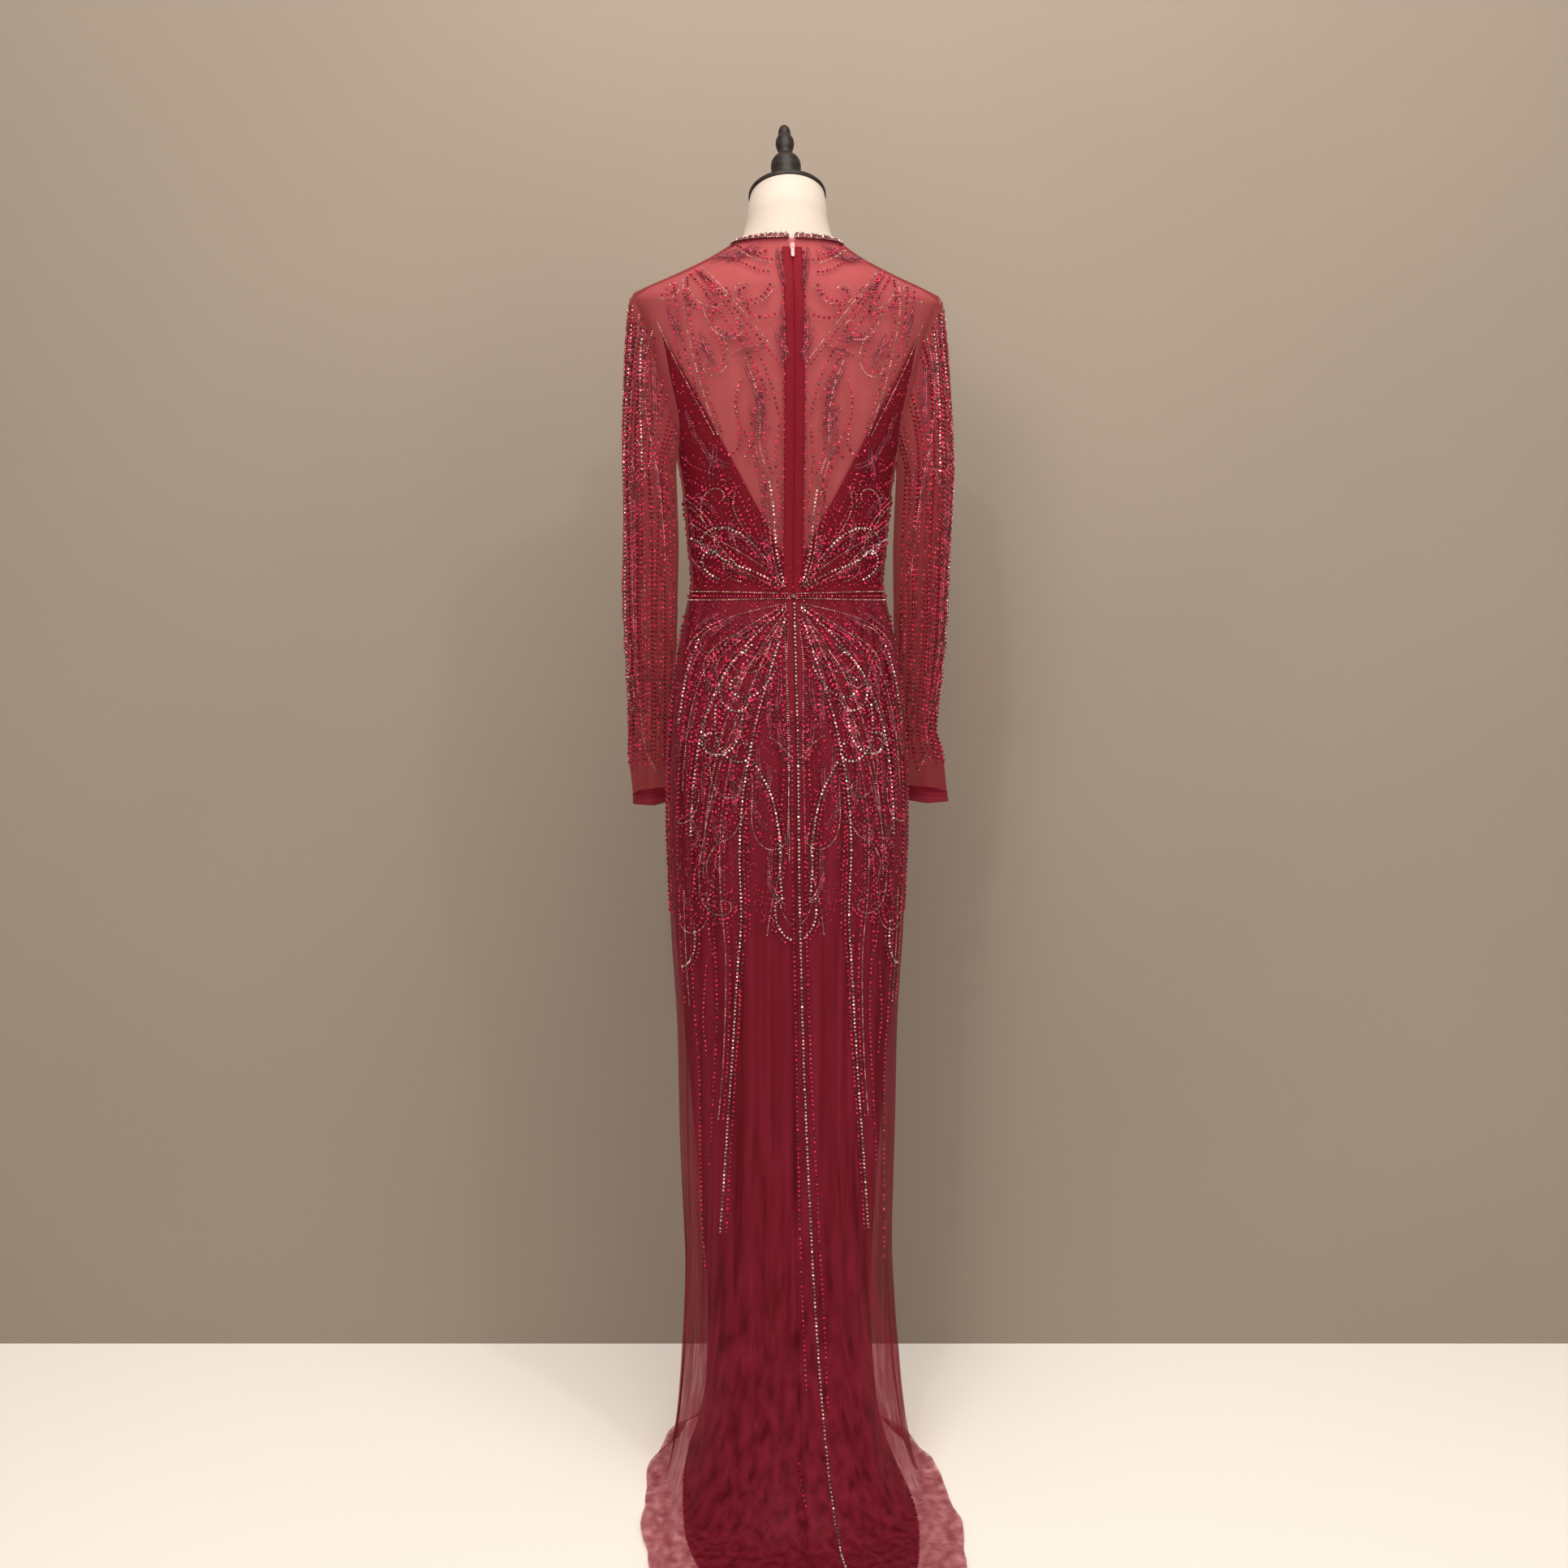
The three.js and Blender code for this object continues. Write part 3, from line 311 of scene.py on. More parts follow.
def satin_face(t, angle):
    """Points of the skirt lining's outer face."""
    t, angle = np.broadcast_arrays(np.asarray(t, float), np.asarray(angle, float))
    row = np.moveaxis(smooth_columns(SATIN_ROWS, t), -1, 0)
    front_z, side_z, back_z, half, ahead, behind, middle, power, _ = row
    drape = -0.9 * smooth_step(700 - side_z, 0, 500) * (1 + np.sin(11 * angle + 1 + side_z * 0.003))
    x, y = section(angle, half + drape, behind + drape, ahead + drape, middle, power)
    z = side_z + (np.where(np.cos(angle) > 0, back_z, front_z) - side_z) * np.cos(angle) ** 2
    return np.stack([x, y, np.maximum(z, 1.2)], -1)


def ring_number(z):
    """Ring number of the net at a height, or at a place on the train for a negative height."""
    heights = NET_ROWS[:, 2].copy()
    heights[-len(TRAIN_DROP):] = TRAIN_DROP
    return np.interp(-np.asarray(z, float), -heights, NET_ROWS[:, 0])


def garment_point(angle, z):
    """Points of the dress's outer face, bodice or skirt, by angle and height."""
    angle, z = np.broadcast_arrays(np.asarray(angle, float), np.asarray(z, float))
    bodice = body_face(angle, np.maximum(z, WAIST))
    skirt = net_face(ring_number(np.minimum(z, WAIST)), angle)
    return np.where((z >= WAIST)[..., None], bodice, skirt)


def turn_of(x, z):
    """Angle of the point at a distance x from the centre back line."""
    body = smooth_columns(BODY, np.maximum(z, BODY[0, 0]))
    net = smooth_columns(NET_ROWS, ring_number(z))
    high = np.asarray(z) > BODY[0, 0]
    half = np.where(high, body[..., 0], net[..., 3])
    power = np.where(high, body[..., 3], net[..., 7])
    share = np.minimum(np.abs(x) / half, 1)
    return np.sign(x) * np.arcsin(share ** (power / 2))


def sleeve_ring(side, z, position):
    """Points of a sleeve below its cap: position 0 is the outer side, a quarter turn the back."""
    rows = SLEEVES[side][::-1]
    inner, outer, centre, depth = np.moveaxis(smooth_columns(rows, z), -1, 0)
    half = (outer - inner) / 2
    grown = smooth_step(SLEEVE_TOP - z, 20, 150)
    free = 0.45 + 0.55 * smooth_step(np.cos(position), -0.9, 0.2)
    wave = np.sin(5 * position + 0.9 + (z - 1000) * 0.005) + 0.6 * np.sin(8 * position - z * 0.004)
    elbow = np.exp(-(((z - 1040) / 60) ** 2)) * np.sin(z * 0.16 + 2 * position) * 0.8
    ease = 1 + (1.3 * wave + elbow) * grown * free / half
    drop = np.where(z < 870, (870 - z) / 37, 0) * 5 * np.cos(position)
    x = inner + half + half * np.cos(position) * ease
    y = centre - depth * np.sin(position) * ease
    return np.stack([x, y, z - np.minimum(drop, z - SLEEVE_HEM)], -1)


def armhole_edge(position, raised=0.0):
    """Points of the armhole seam, from the shoulder tip at 0 down the back and up the front."""
    z = UNDERARM + (SHOULDER_TIP - UNDERARM) * (1 + np.cos(position)) / 2
    back, front = armhole_angle(z, "back"), armhole_angle(z, "front")
    return body_point(np.where(np.sin(position) >= 0, back, front), z, np.full(z.shape, -raised))


def sleeve_face(side, position, level):
    """Points of a whole sleeve: level 0 to 1 is the cap, 1 to 2 the arm down to the cuff."""
    position, level = np.broadcast_arrays(np.asarray(position, float), np.asarray(level, float))
    step = 0.05
    start = armhole_edge(position)
    normal = armhole_edge(position, 1.0) - start
    around = armhole_edge(position + step) - armhole_edge(position - step)
    seamward = unit(np.cross(normal, around))
    start = start + 1.2 * SEAM * seamward
    end = sleeve_ring(side, np.full(position.shape, float(SLEEVE_TOP)), position)
    length = np.linalg.norm(end - start, axis=-1, keepdims=True) * CAP_PULL
    leave = seamward * length * ((1 + np.cos(position)) / 2)[..., None]
    arrive = np.concatenate([0 * length, 0 * length, -length], -1)
    t = np.clip(level, 0, 1)[..., None]
    cap = (start * (1 + 2 * t) * (1 - t) ** 2 + leave * t * (1 - t) ** 2
           + end * t * t * (3 - 2 * t) + arrive * t * t * (t - 1))
    z = SLEEVE_TOP + (SLEEVE_HEM - SLEEVE_TOP) * np.clip(level - 1, 0, 1)
    arm = sleeve_ring(side, z, position)
    points = np.where((level < 1)[..., None], cap, arm)
    return points * ((1, 1, 1) if side == "right" else (-1, 1, 1))


def linear(hex_colour):
    """Linear RGBA of an sRGB hex colour."""
    parts = [int(hex_colour[i:i + 2], 16) / 255 for i in (0, 2, 4)]
    return (*[p / 12.92 if p <= 0.04045 else ((p + 0.055) / 1.055) ** 2.4 for p in parts], 1.0)


def colour_property(name, hex_colour, description):
    """A colour that the user can change."""
    return FloatVectorProperty(
        name=name, description=description, subtype="COLOR", size=4, min=0, max=1,
        default=linear(hex_colour))


def length_property(name, description, default):
    """A length that the user can change."""
    return FloatProperty(name=name, description=description, default=default, unit="LENGTH")


class DressSizes(bpy.types.PropertyGroup):
    """Sizes of the trims and the camera's place."""

    net: length_property("Net", "Thickness of the net", 0.5 * MM)
    satin: length_property("Lining", "Thickness of the lining", 0.9 * MM)
    seed: length_property("Seed bead", "Radius of a seed bead", 0.95 * MM)
    stone: length_property("Stone", "Radius of a set stone", 1.75 * MM)
    round: length_property("Round bead", "Radius of a dark bead", 1.7 * MM)
    ruby: length_property("Crystal", "Radius of a red crystal", 2.2 * MM)
    bugle: length_property("Bugle", "Length of a bugle bead", 5.6 * MM)
    picot: length_property("Picot step", "Step of the edge beads", 6.0 * MM)
    columns: IntProperty(
        name="Columns", description="Columns of the skirt's net all round", default=210, min=60)
    eye: length_property("Camera height", "Height of the lens", 1.10)
    away: length_property("Distance", "Level distance to the form", 2.25)
    lens: FloatProperty(
        name="Lens", description="Focal length in millimetres", default=41.93, min=10)


class DressColours(bpy.types.PropertyGroup):
    """Colours of the dress, its beads, the form and the room."""

    thread: colour_property("Net thread", "8e1f38", "Colour of the net's thread")
    sheer: colour_property("Net seen through", "fcdcdf", "Tint of what shows through the dyed net")
    light: colour_property("Skirt net seen through", "f6e2e5", "Tint of the lighter net of the skirt")
    satin: colour_property("Lining", "741f2c", "Opaque lining")
    seed: colour_property("Seed beads", "dcaea4", "Rose gold seed beads")
    stone: colour_property("Stones", "f3d6cf", "Champagne stones")
    round: colour_property("Dark beads", "7c112e", "Dark claret beads")
    ruby: colour_property("Crystals", "c41c46", "Ruby crystals")
    bugle: colour_property("Bugles", "ad3f56", "Claret bugle beads")
    linen: colour_property("Form", "cbbeb3", "Cream cover of the form")
    wood: colour_property("Wood", "1f1714", "Dark stained wood")
    steel: colour_property("Steel", "26282a", "Powder coated steel")
    enamel: colour_property("Zip enamel", "d79a9c", "Pull tab and slider")
    floor: colour_property("Floor", "fefaf4", "Studio floor")
    wall: colour_property("Wall", "978b7f", "Studio wall")


def sizes():
    """The dress's sizes in the scene."""
    return bpy.context.scene.dress_sizes


def colour(name):
    """One of the dress's colours as a plain tuple."""
    return tuple(getattr(bpy.context.scene.dress_colours, name))


def add_node(tree, kind, links=None, **settings):
    """Adds a shader node with its settings; links gives a socket a value or another socket."""
    made = tree.nodes.new(kind)
    for key, value in settings.items():
        setattr(made, key, value)
    for socket, value in (links or {}).items():
        if isinstance(value, bpy.types.NodeSocket):
            tree.links.new(value, made.inputs[socket])
        else:
            made.inputs[socket].default_value = value
    return made


def new_material(name):
    """A node material: itself, its tree, its surface input and its object coordinates."""
    made = bpy.data.materials.new(name)
    made.use_nodes = True
    tree = made.node_tree
    tree.nodes.clear()
    output = add_node(tree, "ShaderNodeOutputMaterial")
    place = add_node(tree, "ShaderNodeTexCoord")
    return made, tree, output.inputs["Surface"], place.outputs["Object"]


def shade(base, share):
    """A colour made darker or lighter."""
    return (*[min(1, c * share) for c in base[:3]], 1.0)


def blend(tree, share, first, second):
    """A colour between two others."""
    mix = add_node(tree, "ShaderNodeMix", {0: share, 6: first, 7: second}, data_type="RGBA")
    return mix.outputs[2]


def varied(tree, place, base, scale, low, high):
    """Colour that wanders softly over the piece, at a scale per metre."""
    noise = add_node(tree, "ShaderNodeTexNoise", {"Vector": place, "Scale": scale, "Detail": 3.0})
    return blend(tree, noise.outputs["Fac"], shade(base, low), shade(base, high))


def relief(tree, height, strength, distance):
    """Normal of a fine relief, its depth in metres."""
    bump = add_node(tree, "ShaderNodeBump", {
        "Height": height, "Strength": strength, "Distance": distance})
    return bump.outputs["Normal"]


def end_in(tree, surface, inputs):
    """Ends a material in one principled shader."""
    shader = add_node(tree, "ShaderNodeBsdfPrincipled", inputs)
    tree.links.new(shader.outputs[0], surface)


def net_material(name, cover, sheer, streak=0.05):
    """Dyed net: fine threads half hide what is behind, so it is darker where doubled."""
    made, tree, surface, place = new_material(name)
    # Real mesh is about 1 mm; threads are drawn every 2 mm so that they show in the render
    mesh = add_node(tree, "ShaderNodeTexVoronoi", {
        "Vector": place, "Scale": 520.0}, feature="DISTANCE_TO_EDGE")
    holes = add_node(tree, "ShaderNodeMapRange", {
        "Value": mesh.outputs["Distance"], "From Min": 0.0, "From Max": 0.35,
        "To Min": cover + 0.04, "To Max": cover - 0.02})
    hang = add_node(tree, "ShaderNodeMapping", {"Vector": place, "Scale": (85, 85, 1.6)})
    soft = add_node(tree, "ShaderNodeTexNoise", {
        "Vector": hang.outputs["Vector"], "Scale": 1.0, "Detail": 3.0})
    drift = add_node(tree, "ShaderNodeMapRange", {
        "Value": soft.outputs["Fac"], "From Min": 0.32, "From Max": 0.68,
        "To Min": -streak, "To Max": streak})
    share = add_node(tree, "ShaderNodeMath", {
        0: holes.outputs["Result"], 1: drift.outputs["Result"]}, operation="ADD")
    cloth = add_node(tree, "ShaderNodeBsdfPrincipled", {
        "Base Color": varied(tree, place, colour("thread"), 14, 0.82, 1.2), "Roughness": 0.75,
        "Specular IOR Level": 0.2, "Sheen Weight": 0.12, "Sheen Roughness": 0.4,
        "Sheen Tint": colour("sheer")})
    clear = add_node(tree, "ShaderNodeBsdfTransparent", {"Color": sheer})
    mix = add_node(tree, "ShaderNodeMixShader", {
        0: share.outputs[0], 1: clear.outputs[0], 2: cloth.outputs[0]})
    tree.links.new(mix.outputs[0], surface)
    return made


def satin_material():
    """Polyester lining satin: dense weave with a soft sheen along the drape."""
    made, tree, surface, place = new_material("claret_lining_satin")
    # Weave ribs are drawn every 2 mm so that they show
    weave = add_node(tree, "ShaderNodeTexWave", {
        "Vector": place, "Scale": 160.0, "Distortion": 0.6}, bands_direction="Z")
    end_in(tree, surface, {
        "Base Color": varied(tree, place, colour("satin"), 6, 0.72, 1.2), "Roughness": 0.5,
        "Specular IOR Level": 0.3, "Normal": relief(tree, weave.outputs["Fac"], 0.12, 0.0004)})
    return made


def bead_material(name, base, metallic, roughness, coat, dark, bright=1.15):
    """Pressed glass or metal lined beads, each a darker or a brighter copy of the colour: partly own
    tone, partly a painted glint.
    """
    made, tree, surface, place = new_material(name)
    # Cells of about 4 mm give each bead a darker or a brighter copy of its colour: partly the beads'
    # own uneven tone, partly painted shade and painted glints.
    lot = add_node(tree, "ShaderNodeTexVoronoi", {"Vector": place, "Scale": 260.0})
    tone = add_node(tree, "ShaderNodeSeparateColor", {"Color": lot.outputs["Color"]})
    glint = add_node(tree, "ShaderNodeMapRange", {
        "Value": tone.outputs[0], "From Min": 0.4, "From Max": 0.75})
    end_in(tree, surface, {
        "Base Color": blend(tree, glint.outputs["Result"], shade(base, dark), shade(base, bright)),
        "Metallic": metallic, "Roughness": roughness, "Coat Weight": coat, "Coat Roughness": 0.04})
    return made


def linen_material():
    """Linen cover of the form: plain weave with slubs."""
    made, tree, surface, place = new_material("cream_linen")
    # Threads are drawn every 1.5 mm so that they show
    weave = add_node(tree, "ShaderNodeTexWave", {
        "Vector": place, "Scale": 210.0, "Distortion": 1.2}, bands_direction="Z")
    end_in(tree, surface, {
        "Base Color": varied(tree, place, colour("linen"), 40, 0.93, 1.03), "Roughness": 0.85,
        "Normal": relief(tree, weave.outputs["Fac"], 0.1, 0.0003)})
    return made


def wood_material():
    """Stained beech, turned: dark grain under a thin clear coat."""
    made, tree, surface, place = new_material("dark_turned_wood")
    grain = add_node(tree, "ShaderNodeTexWave", {
        "Vector": place, "Scale": 35.0, "Distortion": 6.0, "Detail": 3.0}, wave_type="RINGS")
    wood = colour("wood")
    end_in(tree, surface, {
        "Base Color": blend(tree, grain.outputs["Fac"], shade(wood, 0.55), shade(wood, 1.5)),
        "Roughness": 0.55, "Specular IOR Level": 0.3, "Coat Weight": 0.08, "Coat Roughness": 0.2})
    return made


def coated_material(name, base, roughness):
    """Powder coat, enamel or dense tape: a fine relief breaks up the gloss."""
    made, tree, surface, place = new_material(name)
    peel = add_node(tree, "ShaderNodeTexNoise", {"Vector": place, "Scale": 900.0, "Detail": 2.0})
    end_in(tree, surface, {
        "Base Color": varied(tree, place, base, 60, 0.9, 1.1), "Roughness": roughness,
        "Normal": relief(tree, peel.outputs["Fac"], 0.15, 0.0002)})
    return made


def matt_material(name, base, low, high, scale):
    """Painted studio surface with a faint uneven tone."""
    made, tree, surface, place = new_material(name)
    end_in(tree, surface, {
        "Base Color": varied(tree, place, base, scale, low, high), "Roughness": 0.9})
    return made


def open_behind(tree):
    """Lets the wall be looked through from its back, so that it hides the dress from no side."""
    output = next(node for node in tree.nodes if node.type == "OUTPUT_MATERIAL")
    paint = output.inputs["Surface"].links[0].from_socket
    side = add_node(tree, "ShaderNodeNewGeometry")
    clear = add_node(tree, "ShaderNodeBsdfTransparent")
    mix = add_node(tree, "ShaderNodeMixShader", {
        0: side.outputs["Backfacing"], 1: paint, 2: clear.outputs[0]})
    tree.links.new(mix.outputs[0], output.inputs["Surface"])


def deselect_all():
    """Leaves nothing selected, so that an operator acts on the new piece alone."""
    bpy.ops.object.select_all(action="DESELECT")


def shaped_grid(name, across, down, surface, rolled=False, outward_from=None):
    """A grid primitive shaped over a surface of u and v, from 0 to 1, in millimetres.

    A rolled grid closes on itself across, and rows that meet in a point are merged there.
    """
    deselect_all()
    bpy.ops.mesh.primitive_grid_add(x_subdivisions=across, y_subdivisions=down, size=2)
    piece = bpy.context.object
    piece.name = name
    mesh = piece.data
    mesh.name = name
    flat = np.empty(len(mesh.vertices) * 3)
    mesh.vertices.foreach_get("co", flat)
    flat = flat.reshape(-1, 3)
    u, v = (flat[:, 0] + 1) / 2, (flat[:, 1] + 1) / 2
    points = surface(u, v) * MM
    mesh.vertices.foreach_set("co", points.ravel())
    mesh.update()
    if rolled:
        bpy.ops.object.mode_set(mode="EDIT")
        bpy.ops.mesh.select_all(action="SELECT")
        bpy.ops.mesh.remove_doubles(threshold=0.00001)
        bpy.ops.object.mode_set(mode="OBJECT")
    face_out(piece, outward_from)
    bpy.ops.object.shade_smooth()
    return piece


def face_out(piece, outward_from):
    """Turns the faces round where most of them look towards the middle line."""
    mesh = piece.data
    centre = np.empty(len(mesh.polygons) * 3)
    normal = np.empty(len(mesh.polygons) * 3)
    mesh.polygons.foreach_get("center", centre)
    mesh.polygons.foreach_get("normal", normal)
    centre, normal = centre.reshape(-1, 3), normal.reshape(-1, 3)
    away = centre - np.array(outward_from(centre) if outward_from else centre * (0, 0, 1))
    if (normal * away).sum() < 0:
        bpy.ops.object.mode_set(mode="EDIT")
        bpy.ops.mesh.select_all(action="SELECT")
        bpy.ops.mesh.flip_normals()
        bpy.ops.object.mode_set(mode="OBJECT")


def thicken(piece, thickness):
    """Gives a cloth its thickness, inwards from the outer face."""
    solid = piece.modifiers.new("cloth", "SOLIDIFY")
    solid.thickness = thickness
    solid.offset = -1
    bpy.ops.object.modifier_apply(modifier=solid.name)


def finish_piece(piece, look, slot, *nodes, body="root"):
    """Gives a piece its finish and its place in the frame."""
    piece.data.materials.clear()
    piece.data.materials.append(look)
    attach(piece, body)
    if nodes:
        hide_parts(*nodes)
    return piece


def seam_angle(half, power, gap=SEAM / 2):
    """Angle beside a seam on the centre line or the side."""
    return np.arcsin(np.clip(gap / half, 0, 1) ** (power / 2))


def panel_limits(panel, z):
    """First and last angle of a bodice panel at a height."""
    half, back, front, power = np.moveaxis(smooth_columns(BODY, z), -1, 0)
    first = seam_angle(half, power)
    last = math.pi / 2 - seam_angle(back, power)
    ahead = math.pi / 2 + seam_angle(front, power)
    open_row = (z > UNDERARM) & (z < SHOULDER_TIP)
    last = np.where(open_row, armhole_angle(z, "back"), last)
    ahead = np.where(open_row, armhole_angle(z, "front"), ahead)
    if panel == "front":
        return ahead, 2 * math.pi - ahead
    if panel == "left":
        return -last, -first
    return first, last


def bodice_surface(panel):
    """Outer face of a net bodice panel: v runs from the waist seam to the neckline."""
    def surface(u, v):
        low = WAIST + SEAM + (SHOULDER_TIP - WAIST - SEAM) * np.minimum(v / SHOULDER_SHARE, 1)
        share = np.clip((v - SHOULDER_SHARE) / (1 - SHOULDER_SHARE), 0, 1)
        start, end = panel_limits(panel, low)
        angle = start + (end - start) * u
        z = np.where(share > 0, SHOULDER_TIP + (band_bottom(angle) - SHOULDER_TIP) * share, low)
        return body_point(angle, z)
    return surface


def lining_height(angle):
    """Height of the under-bodice's top edge: a deep V behind and a scoop in front."""
    top = np.full(angle.shape, float(LINING["top"]))
    for _ in range(60):
        across = np.abs(body_face(angle, top)[..., 0])
        behind = np.minimum(LINING["v_low"] + LINING["v_slope"] * across, LINING["top"])
        bow = 1 - np.minimum(1, (across / LINING["scoop_half"]) ** 2)
        ahead = LINING["top"] - LINING["scoop"] * bow
        top = top + 0.3 * (np.where(np.cos(angle) > 0, behind, ahead) - top)
    return top


def lining_surface(panel):
    """Outer face of an under-bodice panel."""
    def surface(u, v):
        bottom = WAIST + SEAM
        nominal = bottom + (LINING["top"] - bottom) * v
        start, end = panel_limits(panel, nominal)
        angle = start + (end - start) * u
        z = bottom + (lining_height(angle) - bottom) * v
        return body_point(angle, z, np.full(u.shape, float(LINING["inset"])))
    return surface


def skirt_surface(panel, rows, face):
    """Outer face of a skirt panel: v runs from the waist down to the hem."""
    def surface(u, v):
        t = v * (len(rows) - 1)
        row = smooth_columns(rows, t)
        gap = seam_angle(row[..., 3], row[..., 7])
        side = np.radians(row[..., 8])
        start, end = {
            "front": (side + gap, 2 * math.pi - side - gap),
            "right": (gap, side - gap),
            "left": (gap - side, -gap),
        }[panel]
        return face(t, start + (end - start) * u)
    return surface


def sleeve_axis(side):
    """Middle line of a sleeve, for turning its faces outwards."""
    rows = SLEEVES[side][::-1]

    def axis(points):
        inner, outer, centre, _ = np.moveaxis(smooth_columns(rows, points[:, 2] / MM), -1, 0)
        across = (inner + outer) / 2 * MM * (1 if side == "right" else -1)
        return np.stack([across, centre * MM, points[:, 2]], -1)
    return axis


def turned(name, profile, tilt=0.0, height=0.0, across=64):
    """A piece turned on a lathe from its profile, on an axis that may lean to the front."""
    table = np.array([(i, *point) for i, point in enumerate(profile)], float)
    lean = math.radians(tilt)

    def surface(u, v):
        radius, rise = np.moveaxis(smooth_columns(table, v * (len(profile) - 1)), -1, 0)
        x, y = radius * np.cos(math.tau * u), radius * np.sin(math.tau * u)
        return np.stack([
            x, y * math.cos(lean) + rise * math.sin(lean),
            height - y * math.sin(lean) + rise * math.cos(lean)], -1)

    middle = sum(point[1] for point in profile) / len(profile)
    centre = np.array((0, middle * math.sin(lean), height + middle * math.cos(lean))) * MM
    return shaped_grid(name, across, 3 * (len(profile) - 1), surface, True, lambda points: centre)


class DRESS_OT_form(bpy.types.Operator):
    """Cream torso and neck with its wooden cap, finial, pole and plate."""

    bl_idname = "dress.form"
    bl_label = "Dress form"

    def execute(self, context):
        columns = 96
        angles = np.linspace(0, math.tau, columns + 1)
        level = np.ones(columns + 1)
        rings = []
        for z in np.linspace(FORM["bottom"], SHOULDER_TIP, 80):
            share = smooth_step(z, FORM["from"], FORM["to"])
            inset = FORM["inset"] + (FORM["shoulder"] - FORM["inset"]) * share
            rings.append(body_point(angles, z * level, inset * level))
        rings.insert(0, np.tile(rings[0].mean(0), (columns + 1, 1)))
        for share in np.linspace(0.1, 1, 10):
            z = SHOULDER_TIP + (neck_top(angles) - FORM["drop"] - SHOULDER_TIP) * share
            deep = FORM["inset"] + (FORM["shoulder"] - FORM["inset"]) * smooth_step(share, 0, 0.2)
            rings.append(body_point(angles, z, deep + share * FORM["tuck"]))
        cosine = np.cos(angles)
        for front_z, side_z, back_z, half, ahead, behind, middle in NECK_RINGS:
            x, y = section(angles, half, behind, ahead, middle, 2)
            z = side_z + cosine * np.where(cosine > 0, back_z - side_z, side_z - front_z)
            rings.append(np.stack([x, y, z], -1))
        rings.append(np.tile(rings[-1].mean(0), (columns + 1, 1)))
        stack = np.array(rings)
        top = len(stack) - 1

        def surface(u, v):
            column = np.rint(u * columns).astype(int)
            low = np.floor(v * top).astype(int).clip(0, top - 1)
            t = (v * top - low)[:, None]
            return stack[low, column] * (1 - t) + stack[low + 1, column] * t

        torso = shaped_grid("torso_cover", columns, top, surface, True)
        finish_piece(torso, linen_material(), "form_cloth", "form_torso")
        wood = wood_material()
        tilt, height = CAP_AXIS["tilt"], CAP_AXIS["height"]
        cap = turned("neck_cap", CAP_PROFILE, tilt, height)
        finish_piece(cap, wood, "form_wood", "form_neck_cap")
        finial = turned("turned_finial", FINIAL_PROFILE, tilt, height)
        finish_piece(finial, wood, "form_wood", "form_finial")
        steel = coated_material("black_powder_coat", colour("steel"), 0.4)
        finish_piece(turned("floor_plate", PLATE_PROFILE), steel, "form_steel", "form_base")
        finish_piece(turned("stand_pole", POLE_PROFILE, across=48), steel, "form_steel", "form_pole")
        return {"FINISHED"}


class DRESS_OT_bodice(bpy.types.Operator):
    """Sheer net bodice and the opaque under-bodice with its V back."""

    bl_idname = "dress.bodice"
    bl_label = "Bodice"

    def execute(self, context):
        net = net_material("claret_bodice_net", 0.15, colour("sheer"), 0.02)
        satin = satin_material()
        for panel, across in (("front", 80), ("left", 40), ("right", 40)):
            node = "bodice_front" if panel == "front" else f"bodice_back_{panel}"
            piece = shaped_grid(f"net_{node}", across, 60, bodice_surface(panel))
            thicken(piece, sizes().net)
            finish_piece(piece, net, "net", node)
            node = node.replace("bodice_", "bodice_lining_")
            piece = shaped_grid(f"satin_{node}", across // 2, 40, lining_surface(panel))
            thicken(piece, sizes().satin)
            finish_piece(piece, satin, "lining", node)
        return {"FINISHED"}


class DRESS_OT_skirt(bpy.types.Operator):
    """Net skirt with its folds and train over the opaque lining skirt."""

    bl_idname = "dress.skirt"
    bl_label = "Skirt"

    def execute(self, context):
        net = net_material("claret_skirt_net", 0.22, colour("light"), 0.2)
        satin = bpy.data.materials["claret_lining_satin"]
        columns = sizes().columns
        for panel in ("front", "left", "right"):
            node = "skirt_net_front" if panel == "front" else f"skirt_net_back_{panel}"
            across = columns // 2 if panel == "front" else columns // 4 + 10
            surface = skirt_surface(panel, NET_ROWS, net_face)
            piece = shaped_grid(f"folded_{node}", across, 150, surface)
            thicken(piece, sizes().net)
            finish_piece(piece, net, "net", node)
            node = node.replace("_net_", "_lining_")
            surface = skirt_surface(panel, SATIN_ROWS, satin_face)
            piece = shaped_grid(f"satin_{node}", across // 2, 100, surface)
            thicken(piece, sizes().satin)
            finish_piece(piece, satin, "lining", node)
        return {"FINISHED"}


def cuff_surface(side):
    """Outer face of a cuff's hem, with a ridge where it is turned and where it is stitched."""
    def surface(u, v):
        points = sleeve_face(side, math.tau * u, 2 - CUFF_SHARE * (1 - v))
        out = unit(points - sleeve_axis(side)(points * MM) / MM)
        low, high = (np.exp(-((v - row) / 0.07) ** 2) for row in (0.08, 0.92))
        return points + out * (0.35 + 0.5 * np.maximum(low, high))[:, None]
    return surface


class DRESS_OT_sleeves(bpy.types.Operator):
    """Sheer sleeves with soft folds and a double stitched hem."""

    bl_idname = "dress.sleeves"
    bl_label = "Sleeves"

    def execute(self, context):
        net = net_material("claret_sleeve_net", 0.16, colour("sheer"), 0.06)
        hem_net = net_material("claret_hem_net", 0.5, shade(colour("sheer"), 0.8))
        for side in ("left", "right"):
            def surface(u, v, side=side):
                return sleeve_face(side, math.tau * u, 2 * v)

            piece = shaped_grid(f"net_sleeve_{side}", 64, 96, surface, True, sleeve_axis(side))
            thicken(piece, sizes().net)
            finish_piece(piece, net, "net", f"sleeve_{side}")
            hem = shaped_grid(
                f"cuff_hem_{side}", 64, 12, cuff_surface(side), True, sleeve_axis(side))
            thicken(hem, sizes().net)
            finish_piece(hem, hem_net, "net")
        return {"FINISHED"}


